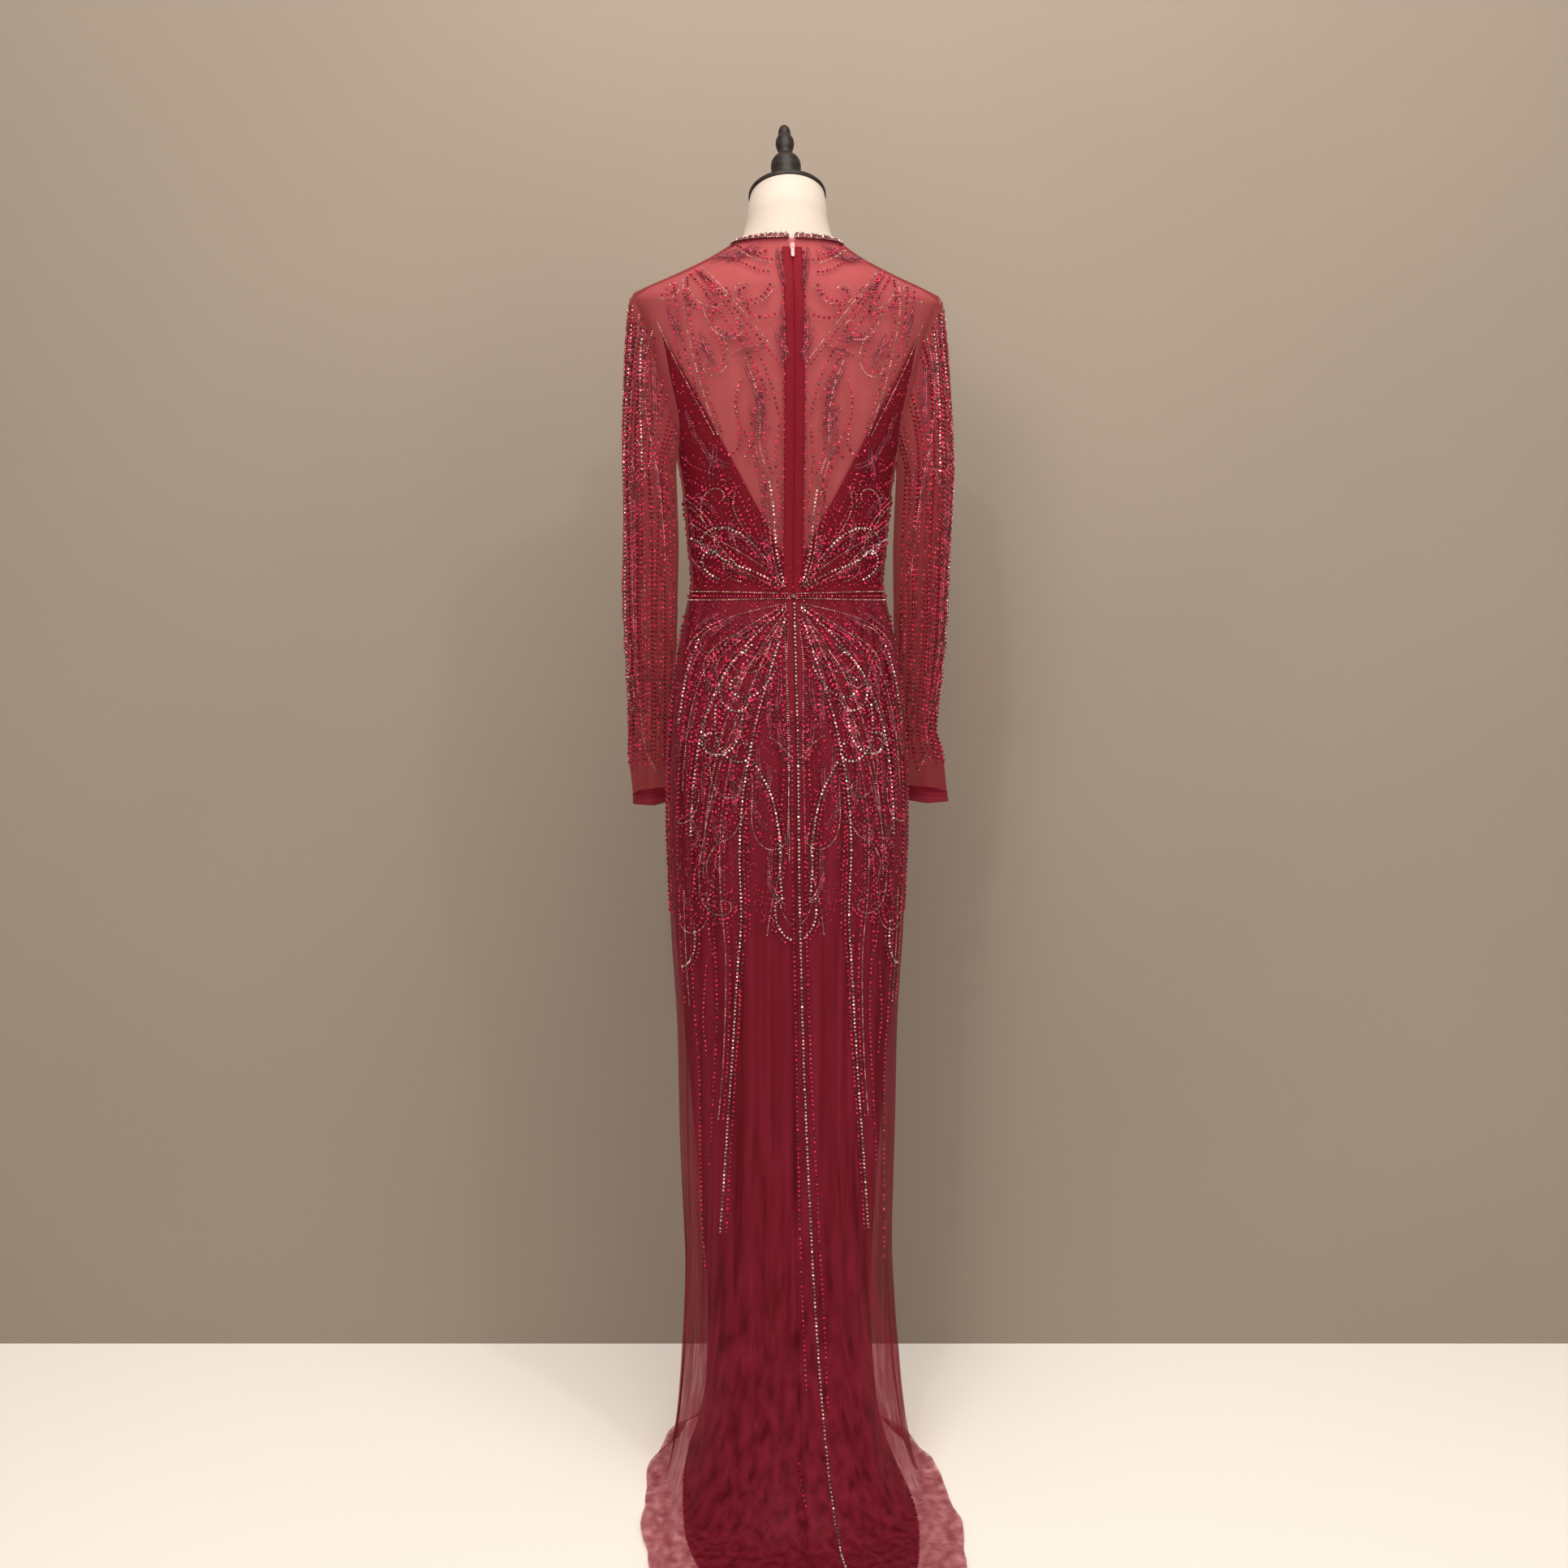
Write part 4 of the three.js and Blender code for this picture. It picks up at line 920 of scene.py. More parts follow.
class DRESS_OT_neckline(bpy.types.Operator):
    """Beaded band round the neckline, in two halves with a slit at the back."""

    bl_idname = "dress.neckline"
    bl_label = "Neckline"

    def execute(self, context):
        # The band's colour takes darker and brighter copies in small cells, partly its own tone and
        # partly a painted glint.
        look = bead_material("claret_binding", colour("satin"), 0.1, 0.5, 0.0, 0.7)
        half = smooth_columns(BODY, NECK_TOP["back"])[0]
        slit = math.asin(BAND["slit"] / half)
        end = math.pi - SEAM / smooth_columns(BODY, NECK_TOP["front"])[0]
        for side, turn in (("left", -1), ("right", 1)):
            def surface(u, v, turn=turn):
                angle = slit + (end - slit) * u
                corner = 1.6 * np.exp(-((u * (end - slit) / 0.03) ** 2))
                low, high = band_bottom(angle) + SEAM, neck_top(angle) - corner
                face = np.minimum(v * 2, 1)
                z = low + (high - low) * np.where(v < 0.5, face, 2 - 2 * v)
                outer = -BAND["raise"] + 0.3 - 0.3 * np.sin(math.pi * face)
                inset = np.where(v < 0.5, outer, BAND["thickness"] - BAND["raise"])
                return body_point(angle, z, inset) * (turn, 1, 1)

            piece = shaped_grid(f"neck_band_{side}", 120, 12, surface)
            thicken(piece, 0.35 * MM)
            finish_piece(piece, look, "band", f"neck_binding_{side}")
        return {"FINISHED"}


class DRESS_OT_zip(bpy.types.Operator):
    """Zip tapes and teeth under the net, with the slider and its pull tab."""

    bl_idname = "dress.zip"
    bl_label = "Zip"

    def execute(self, context):
        tape_look = coated_material("woven_zip_tape", shade(colour("satin"), 1.15), 0.7)
        for side, turn in (("left", -1), ("right", 1)):
            def surface(u, v, turn=turn):
                z = TAPE["bottom"] + (TAPE["top"] - TAPE["bottom"]) * v
                reach = SEAM / 2 + (TAPE["width"] - SEAM / 2) * u
                points = body_point(turn_of(reach, z), z, np.full(u.shape, float(TAPE["inset"])))
                return points * (turn, 1, 1)

            piece = shaped_grid(f"tape_{side}", 8, 140, surface)
            thicken(piece, 0.6 * MM)
            finish_piece(piece, tape_look, "tape", f"zip_tape_{side}")
        enamel = coated_material("pink_zip_enamel", colour("enamel"), 0.3)
        for node in ("zip_slider", "zip_pull_tab"):
            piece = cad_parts[node]
            piece.data.materials.clear()
            piece.data.materials.append(enamel)
        z = np.arange(TAPE["bottom"] + 6, SHOULDER_TIP, TOOTH["pitch"])
        spot = body_point(np.zeros(z.shape), z, np.full(z.shape, TAPE["inset"] + 1.8))
        across = np.tile((1.0, 0, 0), (len(z), 1))
        normal = np.tile((0, -1.0, 0), (len(z), 1))
        tooth = bugle_bead(TOOTH["length"] * MM, TOOTH["radius"] * MM, 6)
        teeth = bead_copies("zip_teeth", tooth, [(spot, across, normal, None)])
        finish_piece(teeth, tape_look, "tape")
        return {"FINISHED"}


def bead_shape():
    """Points and triangles of the active mesh, which is then removed."""
    bpy.ops.object.mode_set(mode="EDIT")
    bpy.ops.mesh.select_all(action="SELECT")
    bpy.ops.mesh.quads_convert_to_tris()
    bpy.ops.object.mode_set(mode="OBJECT")
    piece = bpy.context.object
    mesh = piece.data
    points = np.array([v.co[:] for v in mesh.vertices])
    faces = np.array([p.vertices[:] for p in mesh.polygons])
    bpy.data.objects.remove(piece)
    bpy.data.meshes.remove(mesh)
    return points, faces


def round_bead(radius, flat=1.0):
    """A small round bead, modelled once."""
    deselect_all()
    bpy.ops.mesh.primitive_ico_sphere_add(subdivisions=1, radius=radius)
    points, faces = bead_shape()
    return points * (1, 1, flat), faces


def bugle_bead(length, radius, sides=5):
    """A tube bead along X, modelled once."""
    deselect_all()
    bpy.ops.mesh.primitive_cylinder_add(
        vertices=sides, radius=radius, depth=length, end_fill_type="TRIFAN",
        rotation=(0, math.pi / 2, 0))
    bpy.ops.object.transform_apply(location=False, rotation=True, scale=False)
    return bead_shape()


def any_way_up(count):
    """A random turn for each bead, the same every time."""
    four = np.random.default_rng(7).normal(size=(4, count))
    w, x, y, z = four / np.linalg.norm(four, axis=0)
    return np.stack([
        1 - 2 * (y * y + z * z), 2 * (x * y - z * w), 2 * (x * z + y * w),
        2 * (x * y + z * w), 1 - 2 * (x * x + z * z), 2 * (y * z - x * w),
        2 * (x * z - y * w), 2 * (y * z + x * w), 1 - 2 * (x * x + y * y)], -1).reshape(-1, 3, 3)


def bead_copies(name, shape, runs, smooth=True):
    """One mesh with a bead at every place of the runs: points in mm, tangents, normals, scales."""
    points, faces = shape
    spots = np.concatenate([run[0] for run in runs]) * MM
    along = np.concatenate([run[1] for run in runs])
    normal = np.concatenate([run[2] for run in runs])
    scale = np.concatenate([
        np.ones(len(run[0])) if run[3] is None else run[3] for run in runs])
    along = along - normal * (along * normal).sum(-1, keepdims=True)
    along /= np.linalg.norm(along, axis=-1, keepdims=True) + 1e-12
    side = np.cross(normal, along)
    turn = np.stack([along, side, normal], -1)
    if not smooth:
        turn = any_way_up(len(spots))
    every = np.einsum("nij,kj->nki", turn, points) * scale[:, None, None] + spots[:, None]
    count, corner = len(spots), len(points)
    index = (faces[None] + (np.arange(count) * corner)[:, None, None]).reshape(-1, 3)
    mesh = bpy.data.meshes.new(name)
    mesh.vertices.add(count * corner)
    mesh.vertices.foreach_set("co", every.reshape(-1))
    mesh.loops.add(index.size)
    mesh.loops.foreach_set("vertex_index", index.reshape(-1))
    mesh.polygons.add(len(index))
    mesh.polygons.foreach_set("loop_start", np.arange(len(index)) * 3)
    mesh.update(calc_edges=True)
    mesh.polygons.foreach_set("use_smooth", np.full(len(index), smooth))
    piece = bpy.data.objects.new(name, mesh)
    bpy.context.collection.objects.link(piece)
    bpy.context.view_layer.objects.active = piece
    return piece


def plane_curve(points, steps=24):
    """A smooth curve through points of the design plane."""
    points = np.array(points, float)
    if len(points) == 2:
        t = np.linspace(0, 1, steps)[:, None]
        return points[0] * (1 - t) + points[1] * t
    ends = np.vstack([2 * points[0] - points[1], points, 2 * points[-1] - points[-2]])
    parts = []
    for a, b, c, d in zip(ends, ends[1:], ends[2:], ends[3:]):
        t = np.linspace(0, 1, steps, endpoint=False)[:, None]
        parts.append(0.5 * (2 * b + (c - a) * t + (2 * a - 5 * b + 4 * c - d) * t ** 2
                            + (3 * b - a - 3 * c + d) * t ** 3))
    return np.vstack([*parts, points[-1:]])


def curl(x, z, heading, length, start_bend, end_bend):
    """A scroll: it sets off at a heading in degrees, 0 up and 90 outwards, and bends tighter."""
    steps = int(length)
    share = (np.arange(steps) + 0.5) / steps
    bend = start_bend + (end_bend - start_bend) * share ** 2
    turn = np.radians(heading + np.cumsum(bend) * length / steps)
    step = np.stack([np.sin(turn), np.cos(turn)], -1) * length / steps
    return np.vstack([(x, z), (x, z) + np.cumsum(step, 0)])


def even_places(line, pitch, least=1):
    """Length along a line at each of its points, and the places of beads at an even pitch."""
    length = np.concatenate([[0], np.cumsum(np.linalg.norm(np.diff(line, axis=0), axis=1))])
    count = max(int(length[-1] / pitch), least)
    return length, (np.arange(count) + 0.5) * length[-1] / count


def garment_frame(angle, z):
    """Points of the dress, the way up along its cloth there, and the cloth's normal."""
    around = garment_point(angle + 0.02, z) - garment_point(angle - 0.02, z)
    up = garment_point(angle, z + 1.5) - garment_point(angle, z - 1.5)
    return garment_point(angle, z), up, unit(np.cross(around, up))


def seat(angle_of, curve, mirror, pitch, lift):
    """Places at an even pitch along a curve of the design plane, seated on the cloth."""
    x, z = curve[:, 0], curve[:, 1]
    length, place = even_places(garment_point(angle_of(x, z) * mirror, z), pitch)
    x, z = np.interp(place, length, x), np.interp(place, length, z)
    spot, _, normal = garment_frame(angle_of(x, z) * mirror, z)
    along = np.gradient(spot, axis=0) if len(spot) > 1 else np.array([(0, 0, 1.0)])
    return spot + normal * lift, along, normal


# Pitch of each kind of bead string and how high it sits, in millimetres
STRING_PITCH = {"rope": 2.9, "chain": 4.6, "dots": 5.7, "ruby": 5.8}
STRING_LIFT = {"rope": 0.7, "chain": 1.1, "dots": 0.9, "ruby": 1.1, "bugle": 0.8}
SHORTEST = 6   # a curve cut down to this many points or fewer is left out
BUGLE_RADIUS = 0.6
BARB_TURN = math.radians(38)
BARB_PITCH = 3.1
LOOSE_LIFT = 0.5

# Each kind of bead: size and colour, flatness, metallic, roughness, coat, its dark and bright tone,
# the bright one partly a painted glint
BEAD_KINDS = {
    "rope": ("seed", 1.0, 0.6, 0.3, 0.0, 0.3),
    "chain": ("stone", 0.8, 0.6, 0.12, 0.5, 0.2),
    # The dark beads' bright tone, three times their colour, is a painted glint.
    "dots": ("round", 1.0, 0.0, 0.25, 0.0, 0.6, 3.0),
    "ruby": ("ruby", 0.8, 0.4, 0.12, 0.6, 0.4),
    "bugle": ("bugle", 1.0, 0.5, 0.2, 0.5, 0.4),
}


def bead_strings(strings, angle_of, mirrors):
    """Places of all beads of a list of strings: each has its kind and its curve."""
    runs = {}
    for kind, curve in strings:
        for mirror in mirrors:
            seated = seat(angle_of, curve, mirror, STRING_PITCH[kind], STRING_LIFT[kind])
            runs.setdefault(kind, []).append((*seated, None))
    return runs


def leaf_spray(curve, angle_of, mirrors):
    """Bugle beads in pairs along a stem, like the barbs of a feather."""
    runs = []
    leaf = sizes().bugle / MM
    forward, aside = math.cos(BARB_TURN), math.sin(BARB_TURN)
    for mirror in mirrors:
        spot, along, normal = seat(angle_of, curve, mirror, BARB_PITCH, STRING_LIFT["bugle"])
        along = along / (np.linalg.norm(along, axis=-1, keepdims=True) + 1e-9)
        side = np.cross(normal, along)
        share = (np.arange(len(spot)) + 0.5) / len(spot)
        size = 0.55 + 0.45 * np.sin(math.pi * np.clip(share * 1.05, 0, 1)) ** 0.7
        for way in (-1, 1):
            barb = along * forward + way * side * aside
            runs.append((spot + barb * (leaf * 0.5 * size + 0.6)[:, None], barb, normal, size))
    return runs


def bead_kind_pieces(prefix, runs):
    """One piece for each kind of bead, each with its own finish."""
    for kind, (tone, flat, *finish) in BEAD_KINDS.items():
        if kind not in runs:
            continue
        size, tube = getattr(sizes(), tone), kind == "bugle"
        shape = bugle_bead(size, BUGLE_RADIUS * MM) if tube else round_bead(size, flat)
        name = f"{tone}_beads"
        look = bpy.data.materials.get(name) or bead_material(name, colour(tone), *finish)
        piece = bead_copies(f"{prefix}_{kind}_beads", shape, runs[kind], tube)
        finish_piece(piece, look, "band")


def by_degrees(x, z):
    """Design plane of the sides: x is the angle from the centre back in degrees."""
    return np.radians(x)


def front_distance(x, z):
    """The back's design plane laid over the front."""
    return math.pi - turn_of(x, z)


# Bead strings of one half of the back bodice: kind, then points of the design plane, which are
# (distance from the centre line, height)
BODICE_LINES = (
    ("rope", ((106, 1478), (82, 1448), (46, 1404), (13, 1362))),
    ("dots", ((112, 1475), (90, 1444), (58, 1398), (32, 1350), (17, 1296))),
    ("dots", ((119, 1470), (98, 1438), (66, 1392), (42, 1350), (29, 1318))),
    ("rope", ((127, 1465), (126, 1420), (116, 1370), (103, 1322), (88, 1280))),
    ("dots", ((138, 1457), (131, 1404), (120, 1356), (104, 1304))),
    ("dots", ((146, 1452), (139, 1402), (128, 1356))),
    ("chain", ((153, 1394), (134, 1354), (110, 1310), (86, 1264), (66, 1232), (48, 1194), (28, 1150),
               (9, 1108))),
    ("dots", ((150, 1370), (126, 1322), (102, 1278), (82, 1242))),
    ("dots", ((146, 1344), (124, 1300), (106, 1268), (90, 1240))),
    ("dots", ((140, 1314), (124, 1280), (110, 1256), (98, 1238))),
    ("chain", ((143, 1332), (130, 1290), (120, 1262), (116, 1240), (122, 1222))),
    ("rope", ((120, 1200), (104, 1182), (84, 1150), (56, 1122), (20, 1104))),
    ("dots", ((110, 1474), (100, 1456), (92, 1440), (90, 1424), (98, 1412))),
    ("rope", ((66, 1500), (50, 1488), (34, 1480), (22, 1478))),
    ("dots", ((76, 1492), (58, 1480), (40, 1470), (26, 1468))),
    ("ruby", ((54, 1498), (40, 1492), (28, 1494))),
    ("rope", ((158, 1416), (140, 1374), (116, 1326), (92, 1280))),
    ("dots", ((76, 1238), (56, 1196), (38, 1158), (20, 1120))),
    ("dots", ((92, 1252), (72, 1208), (48, 1162), (24, 1120))),
    ("chain", ((11, 1108), (20, 1146), (24, 1196), (30, 1232))),
    ("rope", ((30, 1232), (40, 1266), (40, 1300), (46, 1336), (58, 1368))),
    ("rope", ((16, 1112), (26, 1150), (30, 1196), (36, 1232), (47, 1270))),
    ("dots", ((38, 1334), (50, 1292), (44, 1256), (34, 1226), (38, 1192), (30, 1160))),
    ("dots", ((18, 1292), (22, 1250), (17, 1204), (19, 1160), (14, 1120))),
    ("rope", ((9, 1104), (34, 1126), (64, 1146), (96, 1164), (119, 1180))),
    ("chain", ((12, 1103), (42, 1120), (76, 1134), (104, 1154), (118, 1162))),
    ("dots", ((14, 1101), (46, 1112), (82, 1120), (112, 1136))),
    ("rope", ((12, 1106), (30, 1134), (52, 1162), (70, 1196), (66, 1222))),
    ("chain", ((143, 1318), (128, 1296), (116, 1272), (108, 1250), (90, 1238), (78, 1242))),
    ("rope", ((132, 1254), (116, 1240), (98, 1232), (82, 1222), (70, 1226))),
    ("dots", ((124, 1232), (106, 1222), (92, 1208), (80, 1196))),
    ("rope", ((126, 1210), (110, 1196), (96, 1180), (88, 1160))),
    ("dots", ((148, 1340), (136, 1310), (128, 1280), (124, 1252))),
    ("ruby", ((62, 1344), (68, 1318), (64, 1292), (52, 1270), (58, 1252))),
)

# Scrolls: kind, start, heading, length, bend at the start and at the end in degrees per mm
BODICE_CURLS = (
    ("rope", 22, 1452, 160, 92, -1.3, -8.0),
    ("dots", 27, 1448, 158, 66, -1.4, -9.0),
    ("rope", 122, 1452, 200, 84, 1.0, 9.5),
    ("dots", 128, 1446, 196, 60, 1.2, 11),
    ("rope", 92, 1404, 222, 96, -0.7, -7.5),
    ("rope", 104, 1424, 190, 88, 0.9, 7.5),
    ("ruby", 20, 1418, 118, 54, -1.2, -9),
    ("rope", 156, 1440, 250, 46, 2.0, 13),
    ("chain", 44, 1150, 40, 106, 0.6, 6.6),
    ("dots", 52, 1146, 46, 78, 0.7, 8.4),
    ("rope", 70, 1126, 58, 84, -0.9, -8.2),
    ("chain", 84, 1112, 70, 62, -1.2, -10),
    ("rope", 60, 1110, 84, 52, -1.6, -12),
    ("rope", 104, 1180, 20, 70, -1.0, -9),
    ("dots", 96, 1204, 60, 54, 1.2, 10),
    ("ruby", 66, 1290, 200, 54, -1.0, -10),
    ("rope", 132, 1222, 250, 60, 1.5, 10),
)

# Leaf sprays: start, heading, length, bend at the start and at the end
BODICE_SPRAYS = (
    (17, 1500, 178, 52, 0.5, -0.6), (21, 1506, 176, 60, -0.7, -2.0),
    (14, 1430, 182, 44, -0.1, 0.3), (12, 1396, 176, 34, 0.2, 0.4), (24, 1404, 200, 40, 0.3, 0.2),
    (34, 1502, 96, 46, 1.2, -1.8), (42, 1494, 116, 44, -1.1, -1.6), (62, 1500, 128, 34, -1.4, 1.2),
    (74, 1368, 300, 42, -0.9, 1.4), (98, 1398, 240, 46, 1.2, -1.2), (60, 1362, 214, 44, -0.5, 1.2),
    (48, 1336, 196, 40, 0.5, -1.0), (42, 1310, 188, 38, -0.8, 1.4), (56, 1316, 210, 42, 0.4, 1.6),
    (110, 1400, 210, 44, -0.6, 1.4), (146, 1432, 196, 40, 0.3, 1.0), (118, 1392, 226, 34, 0.5, -1.4),
    (34, 1128, 24, 56, 0.5, 1.6), (26, 1122, 14, 46, -0.3, 0.9), (62, 1140, 38, 44, -0.9, -1.8),
    (80, 1142, 52, 40, 0.9, 2.0), (96, 1118, 66, 36, -1.1, -1.8), (46, 1112, 72, 38, -1.0, 1.3),
    (100, 1232, 330, 38, 0.8, 1.4), (114, 1286, 200, 44, 0.6, -1.4), (126, 1310, 212, 40, -0.9, 0.8),
    (88, 1186, 30, 36, 1.0, -1.2), (112, 1150, 20, 40, -0.8, 1.2), (104, 1262, 220, 36, 1.0, 1.4),
)

# Skirt: strings from the centre waist over the hips, then long falls, same columns as above
SKIRT_LINES = (
    ("rope", ((8, 1084), (44, 1076), (84, 1064), (112, 1046), (126, 1026))),
    ("rope", ((8, 1082), (42, 1064), (78, 1038), (104, 1004), (118, 966), (127, 914), (131, 860))),
    ("chain", ((8, 1080), (36, 1056), (66, 1022), (92, 980), (110, 926), (118, 870), (122, 806))),
    ("dots", ((10, 1080), (40, 1052), (72, 1012), (98, 962), (112, 904), (118, 840), (121, 772))),
    ("rope", ((8, 1078), (30, 1046), (56, 1004), (78, 954), (94, 896), (104, 830), (108, 760))),
    ("rope", ((10, 1074), (28, 1036), (48, 990), (66, 938), (80, 880), (88, 816), (88, 740),
              (82, 660), (84, 560), (90, 460))),
    ("dots", ((12, 1072), (34, 1026), (54, 974), (72, 914), (84, 850), (94, 780), (96, 700),
              (92, 610), (96, 500), (101, 400))),
    ("chain", ((10, 1068), (22, 1026), (38, 976), (52, 920), (62, 858), (66, 790), (64, 712),
               (70, 620), (76, 520), (82, 420), (87, 330))),
    ("dots", ((12, 1064), (26, 1014), (42, 960), (54, 900), (58, 830), (56, 760), (54, 690))),
    ("rope", ((6, 1062), (10, 1010), (8, 940), (9, 860), (11, 790))),
    ("dots", ((16, 1058), (17, 1000), (14, 930), (16, 866), (22, 800))),
    ("rope", ((18, 1060), (40, 1012), (62, 962), (84, 908), (100, 846), (112, 776))),
    ("dots", ((60, 1060), (90, 1030), (112, 994), (126, 950), (134, 896), (137, 830), (136, 750))),
    ("chain", ((110, 1042), (124, 1000), (133, 950), (139, 890), (141, 820))),
    ("dots", ((84, 1062), (108, 1040), (124, 1014), (134, 980))),
    ("rope", ((30, 862), (20, 820), (18, 780), (28, 730), (34, 690))),
    ("chain", ((50, 900), (30, 862), (20, 812), (19, 770), (16, 730))),
    ("dots", ((70, 690), (66, 600), (72, 520))),
    ("ruby", ((88, 800), (98, 752), (102, 704), (96, 660))),
    ("dots", ((118, 760), (122, 680), (118, 600), (113, 520), (112, 420), (109, 330), (106, 280))),
    ("rope", ((130, 740), (128, 660), (124, 600))),
    ("dots", ((104, 650), (108, 590), (104, 540))),
    ("rope", ((58, 842), (74, 812), (92, 800), (104, 776), (100, 752))),
    ("dots", ((62, 850), (82, 826), (104, 812), (118, 788))),
)
SKIRT_CURLS = (
    ("rope", 14, 1046, 158, 118, -0.3, -7.6),
    ("chain", 20, 1010, 150, 100, -0.2, -8.4),
    ("rope", 30, 1060, 126, 128, -0.3, 5.6),
    ("ruby", 30, 998, 196, 78, -1.0, 8.5),
    ("rope", 34, 930, 250, 72, -1.6, 9.0),
    ("chain", 62, 960, 184, 112, -0.6, -6.6),
    ("rope", 70, 952, 180, 86, -0.4, -8.4),
    ("chain", 92, 966, 176, 118, 0.1, 7.0),
    ("rope", 98, 910, 172, 96, 0.3, 8.2),
    ("dots", 86, 972, 170, 96, -0.2, -6.2),
    ("chain", 48, 1036, 128, 126, 0.2, 5.4),
    ("rope", 66, 1048, 112, 110, 0.5, 6.2),
    ("dots", 66, 1036, 116, 92, 0.5, 7.0),
    ("rope", 52, 884, 186, 132, -0.4, 5.8),
    ("chain", 22, 744, 170, 104, 0.3, 8.0),
    ("rope", 20, 740, 186, 82, 0.4, 8.8),
    ("rope", 112, 770, 176, 106, 0.2, 8.0),
    ("chain", 118, 700, 184, 110, -0.1, -7.6),
    ("rope", 104, 742, 190, 90, -0.3, -7.2),
    ("ruby", 36, 1044, 140, 62, 0.9, -9),
    ("rope", 112, 864, 180, 84, -0.5, -8.2),
    ("dots", 120, 880, 176, 76, 0.4, 8.0),
    ("rope", 84, 1058, 104, 60, 1.0, 10),
)
SKIRT_SPRAYS = (
    (14, 1062, 160, 66, 0.2, 0.5), (22, 1050, 150, 60, -0.4, 0.7), (28, 1016, 162, 56, 0.5, 0.9),
    (18, 1004, 182, 54, -0.3, -0.7), (30, 984, 170, 50, 0.6, -0.8), (46, 1028, 146, 64, 0.3, 1.0),
    (60, 1010, 150, 60, 0.5, -0.8), (74, 1010, 144, 60, 0.2, 1.1), (88, 1014, 140, 50, 0.9, 1.1),
    (48, 968, 160, 56, -0.5, 0.9), (64, 950, 164, 60, 0.4, -1.0), (80, 944, 160, 58, -0.4, 1.1),
    (100, 968, 156, 56, 0.6, 1.0), (114, 962, 166, 48, -0.4, 0.8), (44, 920, 172, 56, 0.6, -1.1),
    (58, 900, 176, 54, -0.6, 0.6), (74, 892, 170, 52, 0.8, -0.9), (90, 880, 172, 56, -0.5, 1.0),
    (106, 898, 170, 52, 0.5, -0.8), (20, 950, 178, 50, 0.7, -1.2), (34, 900, 196, 48, -1.0, 1.2),
    (96, 836, 178, 44, 0.6, 1.4), (110, 832, 182, 44, -0.8, -1.2), (28, 802, 166, 48, 0.8, -1.8),
    (32, 772, 176, 44, 1.0, 1.6), (84, 836, 190, 40, -0.9, 1.4), (122, 850, 178, 42, 0.5, 1.0),
    (104, 1034, 136, 44, 0.8, 1.0), (120, 1010, 150, 42, 0.6, 0.8), (36, 1066, 118, 46, 0.4, 1.2),
    (62, 1070, 110, 44, 0.7, 1.0), (86, 1072, 108, 36, 0.9, 1.0), (128, 940, 170, 44, -0.3, 0.9),
    (98, 790, 196, 36, 0.7, 1.2), (52, 860, 186, 40, 0.7, 1.3),
)

# Long falls down the middle, each on one side only: kind, then points (distance, height)
SINGLE_LINES = (
    ("chain", ((1, 1086), (1, 1000), (2, 900), (3, 800), (5, 700), (8, 600), (12, 480), (17, 350),
               (22, 220), (28, 110), (34, 30), (38, 1), (42, -60), (46, -130), (49, -190))),
    ("dots", ((-5, 960), (-5, 840), (-3, 720), (0, 600), (2, 480), (4, 360), (6, 240), (8, 150))),
    ("dots", ((9, 960), (10, 840), (12, 720), (16, 600), (21, 480), (27, 350), (32, 240), (34, 130))),
    ("rope", ((-11, 1060), (-10, 960), (-9, 860), (-8, 780))),
    ("dots", ((-4, 92), (-2, 60), (2, 36))),
)


def beside(curve, away):
    """A curve of the design plane moved sideways by a distance."""
    along = np.gradient(curve, axis=0)
    along /= np.linalg.norm(along, axis=-1, keepdims=True) + 1e-9
    return curve + np.stack([along[:, 1], -along[:, 0]], -1) * away


def plane_strings(lines, curls):
    """Curves of the design plane for lines and scrolls, each bright one with a dark row beside it."""
    made = [(kind, plane_curve(points)) for kind, points in lines]
    made += [(kind, curl(*numbers)) for kind, *numbers in curls]
    dark = [("dots", beside(curve, 5.0 if number % 2 else -5.0))
            for number, (kind, curve) in enumerate(made) if kind in ("rope", "chain")]
    return made + dark


def sprinkle(seed, count, low, high, inner, outer):
    """Loose beads over one half of the design plane, denser low down and at the sides."""
    chance = np.random.default_rng(seed)
    z = low + (high - low) * chance.random(count) ** 1.3
    limit = np.where(z > WAIST, outer, 0.97 * smooth_columns(NET_ROWS, ring_number(z))[:, 3])
    x = inner + (limit - inner) * chance.random(count) ** 0.8
    return x, z


def loose_beads(x, z, angle_of, mirrors, shrink):
    """Places of loose beads, seated on the cloth, with a size for each."""
    runs = []
    for mirror in mirrors:
        spot, up, normal = garment_frame(angle_of(x, z) * mirror, z)
        runs.append((spot + normal * LOOSE_LIFT, up, normal, np.full(len(x), shrink)))
    return runs


def joined_runs(*books):
    """Adds up the places of several lists of bead strings."""
    total = {}
    for book in books:
        for kind, runs in book.items():
            total.setdefault(kind, []).extend(runs)
    return total


def short_of_armhole(strings):
    """Cuts off what would lie beyond the armhole seam, the neckline or the waist."""
    kept = []
    for kind, curve in strings:
        x, z = curve[:, 0], curve[:, 1]
        reach = smooth_columns(ARMHOLE, z)[:, 0] - 2
        inside = (x < reach) & (z > WAIST + 3) & (x > 4) & (z < NECK_TOP["back"] - 10)
        first = int(np.argmax(inside))
        last = len(inside) if inside.all() else first + int(np.argmin(inside[first:]))
        if last - first > SHORTEST:
            kept.append((kind, curve[first:last]))
    return kept


def on_the_back(strings, low=-200):
    """Cuts off what would pass the centre line, or the side of the skirt."""
    kept = []
    for kind, curve in strings:
        inside = (curve[:, 0] > 3) & (curve[:, 1] < WAIST - 5) & (curve[:, 1] > low)
        inside &= curve[:, 0] < 0.93 * smooth_columns(NET_ROWS, ring_number(curve[:, 1]))[:, 3]
        last = len(inside) if inside.all() else int(np.argmin(inside))
        if last > SHORTEST:
            kept.append((kind, curve[:last]))
    return kept


